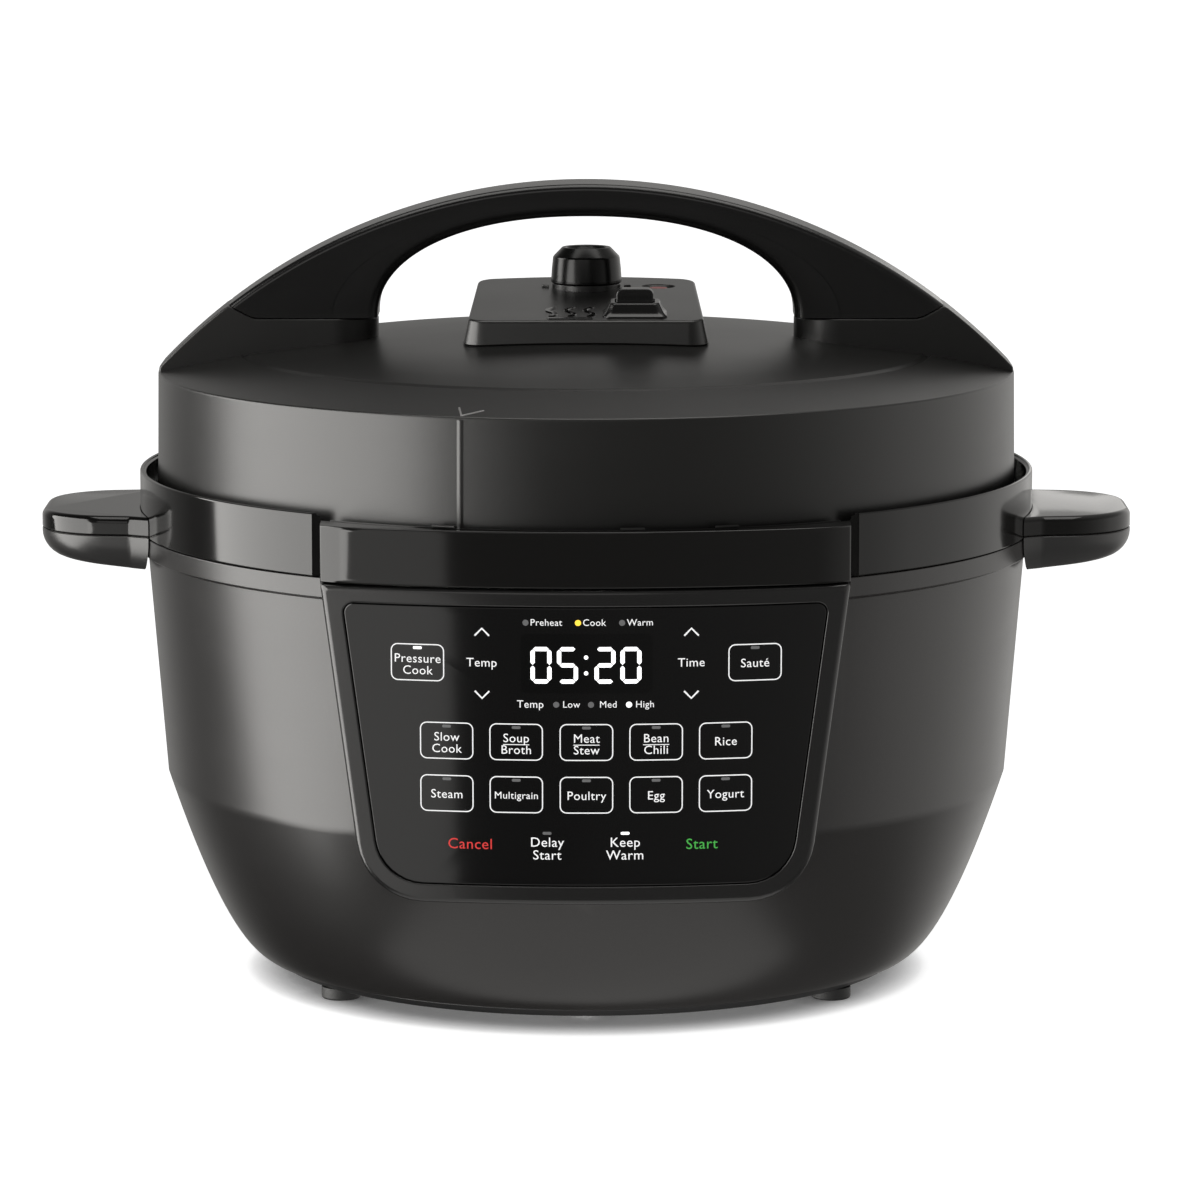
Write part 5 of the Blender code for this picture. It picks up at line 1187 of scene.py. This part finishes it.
def buildDeck():
    d = deck
    rings = [level(deckPlan(d["tuck"]), 0.2515)]
    rings.append([(x, y, crownZ(math.hypot(x, y)) - 0.0002) for x, y in deckPlan(d["tuck"])])
    for share in (0.0, 0.06, 0.25, 0.5, 0.75, 1.0):
        ring = []
        for x, y in deckPlan(d["draft"] * share):
            foot = crownZ(math.hypot(x, y)) + 0.0007
            ring.append((x, y, foot + (deckZ(y) - d["edge"] - foot) * share))
        rings.append(ring)
    rings += [[(x, y, deckZ(y) - d["edge"] * drop) for x, y in deckPlan(d["draft"] + d["edge"] * inset)]
              for inset, drop in quarter(4)[1:]]
    top = stack("valveCover", rings)
    valveY = valves["pipe"][1]
    zBase = deckZ(valveY)
    cutWith(top, rod("pipeCut", 0.006, 0.245, 0.28, 48, valves["pipe"]))
    cutWith(top, rod("pinCut", 0.0043, 0.245, 0.28, 32, valves["pin"]))
    dish = turn("dishCut", softened([(0, 0.0, 0), (0.0058, 0.0, 0.0008), (0.007, 0.0012, 0.0),
                                     (0.0073, 0.02, 0),
                                     (0, 0.02, 0)], 4, False), 48, closed=False)
    dish.data.transform(Matrix.Translation((*valves["pin"], zBase - 0.0011)) @ Matrix.Diagonal((1, 0.75, 1, 1)))
    cutWith(top, dish)
    cutWith(top, brick("releaseCut", (0.0156, 0.0088, 0.03), (*valves["release"], 0.265)))
    dress(top, "lidGrain", "lid", "valve_cover", sharp=34)
    # level seat that the knob stands on, round the steam pipe
    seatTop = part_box("steam_valve_knob")[0].z - hair
    seat = softened([(0.0055, zBase - 0.003, 0), (0.0136, zBase - 0.003, 0), (0.0136, seatTop, 0.0003),
                     (0.0055, seatTop, 0.0003)], 3)
    dress(turn("valveSeat", seat, 64, valves["pipe"]), "lidGrain", "lid")
    for side in (-1, 1):
        near, far = side * 0.015, side * 0.0178
        plan = softened([(near, -0.003, 0), (far, -0.0016, 0.001), (far, 0.0016, 0.001), (near, 0.003, 0)], 4)
        tab = slab(f"guideTab{(side + 3) // 2}", plan, -0.0002, 0.001, "XY", 0.0003, 2)
        tab.data.transform(Matrix.Translation((0, valveY, zBase)) @ Matrix.Rotation(math.radians(4.1), 4, "X"))
        dress(tab, "lidGrain", "lid")
    buildSteamMark()


def buildSteamMark():
    # three rising wisps over a bar, the plain sign for hot steam
    mark = dict(left=-0.0136, pitch=0.0074, foot=-0.0405, rise=0.019, sway=0.0017, half=0.0011, barY=-0.0455,
                sink=0.0002, height=0.00045)
    w, sink, height = mark["half"], mark["sink"], mark["height"]
    for number in range(3):
        rings = []
        for t in (i / 18 for i in range(19)):
            x = mark["left"] + number * mark["pitch"] + mark["sway"] * math.sin(t * 7.0)
            y = mark["foot"] + mark["rise"] * t
            z = deckZ(y)
            rings.append([(x - w, y, z - sink), (x - w * 0.7, y, z + height), (x + w * 0.7, y, z + height),
                          (x + w, y, z - sink)])
        dress(stack(f"steamMark{number + 1}", rings), "pianoBlack", "lid", sharp=50)
    outline = pill(mark["left"] + mark["pitch"], mark["barY"], 2 * mark["pitch"] + 0.003, 0.0022)
    bar = slab("steamMarkBar", outline, -sink, height, "XY", 0.0002, 2)
    for vertex in bar.data.vertices:
        vertex.co.z += deckZ(vertex.co.y)
    dress(bar, "pianoBlack", "lid", sharp=50)


def buildKnob():
    low, high, mid, half = measured("steam_valve_knob")
    r, top, bottom, bore, boreTop = half.x, high.z, low.z, 0.0054, 0.2785 + hair
    spun("steamValveKnob", [
        (0, top - 0.0012, 0), (0.0076, top - 0.0012, 0.0005), (0.0082, top - 0.0002, 0.0004),
        (0.0096, top, 0.0006),
        (r - 0.0008, top - 0.0038, 0.0016), (r - 0.0003, top - 0.0085, 0), (r, bottom + 0.0012, 0.0006),
        (r, bottom, 0.0004), (bore + 0.003, bottom, 0.0005), (bore, bottom + 0.001, 0.0004),
        (bore, boreTop, 0.0004), (0, boreTop, 0)], 6, 96, "knobBlack", "steam_valve", "steam_valve_knob",
        middle=mid, sharp=44)
    low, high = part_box("steam_pipe")
    pipe = softened([(0.0028, low.z, 0.0002), (0.0048, low.z, 0.0002), (0.0048, high.z, 0.0009),
                     (0.0028, high.z, 0.0003)], 4)
    dress(turn("steamPipe", pipe, 48, (mid.x, mid.y)), "platedSteel", "lid", "steam_pipe")


def buildFloat():
    low, high, mid, half = measured("float_pin")
    r, top, stem = half.x, high.z, 0.0016
    spun("floatPin", [
        (0, top, 0), (r, top, 0.0006), (r, top - 0.009, 0.0003), (stem, top - 0.01, 0.0002),
        (stem, low.z, 0.0002),
        (0, low.z, 0)], 4, 40, "valveRed", "float_valve", "float_pin", middle=mid)
    low, high, seal, half = measured("float_seal")
    r = half.x
    spun("floatSeal", [
        (0, high.z, 0), (r - 0.001, high.z, 0.0006), (r - 0.0006, seal.z, 0.0004), (r, low.z, 0.0006),
        (r - 0.0012, low.z, 0.0003), (0, low.z + 0.0004, 0)], 4, 40, "silicone", "float_valve", "float_seal",
        middle=mid)
    low, high, mid, half = measured("vent_shield")
    r, t = half.x, 0.001
    cup = softened([(0, low.z, 0), (r, low.z, 0.0015), (r, high.z, 0.0003), (r - t, high.z, 0.0003),
                    (r - t, low.z + t, 0.001), (0, low.z + t, 0)], 5, False)
    shield = turn("ventShield", cup, 64, (mid.x, mid.y), False)
    for k in range(4):
        slot = brick("ventCut", (0.03, 0.0022, 0.0036), (0, 0, 0), 0.0008)
        slot.data.transform(Matrix.Translation((mid.x, mid.y, low.z + 0.0045))
                            @ Matrix.Rotation(math.pi * k / 4, 4, "Z"))
        cutWith(shield, slot)
    dress(shield, "brushedSteel", "lid", "vent_shield")


def buildRelease():
    x0, y0 = valves["release"]
    (footW, footD), (topW, topD), height, start = (0.025, 0.017), (0.0198, 0.0124), 0.0052, 0.0006

    def ringAt(w, d, lift, corner):
        return [(x, y, deckZ(y) + lift) for x, y in boxed(x0, y0, w, d, corner, 5)]
    rings = [ringAt(footW, footD, 0.0001, 0.003), ringAt(footW, footD, start, 0.003)]
    for k in range(1, 7):  # flared skirt, hollow like a bell
        s, e = k / 6, (k / 6) ** 0.6
        lift = start + (height - 2 * start) * s
        rings.append(ringAt(footW + (topW - footW) * e, footD + (topD - footD) * e, lift, 0.0026))
    rings.append(ringAt(topW - 0.0006, topD - 0.0006, height - 0.0001, 0.0024))
    rings.append(ringAt(topW - 0.0014, topD - 0.0014, height + 0.0002, 0.0022))
    surround = stack("releaseSurround", rings)
    cutWith(surround, brick("buttonCut", (0.0156, 0.0088, 0.03), (x0, y0, 0.268)))
    dress(surround, "handleBlack", "lid", "release_surround", sharp=38)
    low, high, mid, half = measured("release_button")
    right, left = mid.x + half.x, mid.x - half.x
    outline = softened([(right, low.z, 0.0004), (right, high.z, 0.0026), (left, high.z, 0.0026),
                        (left, low.z, 0.0004)], 8)
    button = slab("releaseButton", outline, mid.y - half.y, mid.y + half.y, "XZ", 0.0007, 3)
    for k in range(11):  # ribs at the foot of the tab
        place = (mid.x - 0.006 + k * 0.0012, low.y + 0.0002, deckZ(mid.y) + height + 0.0016)
        cutWith(button, brick("ribCut", (0.0005, 0.0012, 0.0018), place))
    dress(button, "handleBlack", "release_switch", "release_button", sharp=38)


buildDeck()
buildKnob()
buildFloat()
buildRelease()
print("valves built")


springs = {
    "sensorSpring": dict(node="sensor_spring", body="base", joint="sensor_press", travel=0.002, turns=4,
                         wire=0.0006),
    "releaseSpring": dict(node="release_spring", body="lid", joint="release_press", travel=0.003, turns=3,
                          wire=0.0004),
}


def buildSpring(name, spec):
    # a coil of wire, wound in the spring's place
    low, high, mid, half = measured(spec["node"])
    wire, around = spec["wire"], 28
    steps = spec["turns"] * around
    route = [(x, y, low.z + wire + (2 * half.z - 2 * wire) * k / steps) for k, (x, y) in
             enumerate(arc(mid.x, mid.y, half.x - wire, 0, 2 * math.pi * spec["turns"], steps))]
    coil = dress(tubeAlong(name, route, wire), "platedSteel", spec["body"], spec["node"], weighted=False)
    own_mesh(coil)


for springName, springSpec in springs.items():
    buildSpring(springName, springSpec)
print("springs wound")


stays = {
    "control_board": "boardGreen", "power_board": "boardGreen", "display_module": "baseMoulding",
    "heater_tube": "platedSteel", "sensor_bracket": "castAluminium", "mains_lead": "leadSleeve",
}
for nodeName, finishName in stays.items():
    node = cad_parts[nodeName]
    if not node.material_slots:
        node.data.materials.append(None)
    for slot in node.material_slots:
        slot.material = materials[finishName]
print("inner parts finished")


studio = dict(
    camera=dict(place=(0.00544, -2.4, 0.5118), pitch=8.6455, lens=182.868),
    lampTint=(1.0, 0.984, 0.955),
    floorTone=0.9,
    floorGlow=0.88,
    roomGlow=0.32,
    leftWall=((-1.0, 0.13), (-0.5, 0.15), (0.5, 0.12), (0.7, 0.26), (0.86, 0.52), (0.94, 0.55), (0.985, 0.3),
              (1.0, 0.36)),
    rightWall=((-1.0, 0.13), (-0.7, 0.32), (-0.25, 0.75), (0.0, 1.05), (0.6, 1.05), (0.93, 0.9), (0.99, 0.36),
               (1.0, 0.34)),
    upright=((-1.0, 0.08), (-0.55, 0.1), (-0.3, 0.85), (0.12, 1.0), (0.28, 0.95), (0.5, 0.48), (0.75, 0.42),
             (1.0, 0.6)),
)


def addFloor():
    bm = bmesh.new()
    bmesh.ops.create_grid(bm, x_segments=2, y_segments=2, size=20)
    floor = linked("floor", bm)
    if floor.data.polygons[0].normal.z < 0:
        floor.data.flip_normals()
    material, tree, shader = startMaterial("paperFloor")
    tone = studio["floorTone"]
    # the paper glows a little so that it stays white; the glow is taken away where something nearly touches it,
    # a painted contact shadow
    near = addNode(tree, "AmbientOcclusion", {"Distance": 0.011}, samples=6).outputs["AO"]
    feed(shader, {
        "Base Color": mixColor(tree, noise(tree, objectPlace(tree), 3.0), (tone,) * 3, (tone * 0.985,) * 3),
        "Roughness": 0.9, "Specular IOR Level": 0.0, "Emission Strength": 1.0,
        # painted contact shadow: the glow is multiplied by the occlusion
        "Emission Color": maths(tree, "MULTIPLY", maths(tree, "POWER", near, 1.3), studio["floorGlow"])})
    floor.data.materials.append(material)
    floor.visible_glossy = floor.visible_shadow = False


def softbox(name, place, aim, size, glow, roll=0.0):
    data = bpy.data.lights.new(name, "AREA")
    data.shape, data.color = "RECTANGLE", studio["lampTint"]
    data.size, data.size_y = size
    data.energy = glow * math.pi * size[0] * size[1]
    obj = placed(name, data)
    obj.location = place
    facing = (Vector(aim) - Vector(place)).to_track_quat("-Z", "Y").to_matrix()
    obj.rotation_euler = (facing @ Matrix.Rotation(math.radians(roll), 3, "Z")).to_euler()
    obj.visible_diffuse = obj.visible_camera = False


def ramped(tree, value, stops):
    # a run of levels through (position from -1 to 1, level) stops
    ramp = addNode(tree, "ValToRGB", {0: addNode(tree, "MapRange",
                                                 {"From Min": -1.0, "Value": value}).outputs[0]})
    elements = ramp.color_ramp.elements
    for index, (place, level) in enumerate(stops):
        spot = (place + 1) / 2
        stop = elements[index] if index < 2 else elements.new(spot)
        stop.position, stop.color = spot, (level, level, level, 1)
    return ramp.outputs["Color"]


def addWorld():
    scene.world = bpy.data.worlds.new("studio")
    scene.world.use_nodes = True
    tree = scene.world.node_tree
    tree.nodes.clear()
    x, y, z = addNode(tree, "SeparateXYZ", {0: addNode(tree, "TexCoord").outputs["Generated"]}).outputs
    # what shiny faces see: dark in front, a gap behind the left softbox, a white wall at the back
    side = addNode(tree, "MapRange", {"From Min": -0.06, "From Max": 0.06, "Value": x},
                   interpolation_type="SMOOTHSTEP").outputs[0]
    around = mixColor(tree, side, ramped(tree, y, studio["leftWall"]), ramped(tree, y, studio["rightWall"]))
    seenRoom = mixColor(tree, 1.0, around, ramped(tree, z, studio["upright"]), "MULTIPLY")
    shiny = addNode(tree, "Background", {"Color": mixColor(tree, 1.0, seenRoom, studio["lampTint"],
                                                           "MULTIPLY")})
    even = addNode(tree, "Background", {"Color": (1, 1, 1, 1), "Strength": studio["roomGlow"]})
    backdrop = addNode(tree, "Background", {"Color": (1, 1, 1, 1)})
    path = addNode(tree, "LightPath").outputs
    pick = addNode(tree, "MixShader", {0: path["Is Glossy Ray"], 1: even.outputs[0], 2: shiny.outputs[0]})
    seen = addNode(tree, "MixShader", {0: path["Is Camera Ray"], 1: pick.outputs[0], 2: backdrop.outputs[0]})
    addNode(tree, "OutputWorld", {"Surface": seen.outputs[0]})


def addCamera():
    c = studio["camera"]
    data = bpy.data.cameras.new("camera")
    data.lens, data.sensor_width, data.clip_end = c["lens"], 36, 60
    camera = placed("camera", data)
    camera.location = c["place"]
    camera.rotation_euler = (math.radians(90 - c["pitch"]), 0, 0)
    scene.camera = camera


addFloor()
addWorld()
softbox("leftSoftbox", (-1.6, -0.59, 0.41), (0, -0.59, 0.41), (2.15, 2.2), 6.5, roll=28)
softbox("frontLeftCard", (-0.9, -1.35, -0.2), (0, 0, 0.12), (0.8, 1.0), 1.0)
softbox("frontHighCard", (-0.35, -1.6, 0.72), (0, 0, 0.25), (1.3, 0.55), 0.95)
softbox("overheadSoftbox", (0.0, -0.1, 1.9), (0, 0, 0.2), (1.6, 1.3), 2.6)
softbox("tableBounce", (0.0, -0.27, -0.1), (0, -0.27, 0.15), (0.38, 0.3), 0.85)
softbox("capCard", (0.33, 1.0, 0.34), (0.2, 0, 0.18), (0.16, 0.2), 0.68)
addCamera()
print("studio set")
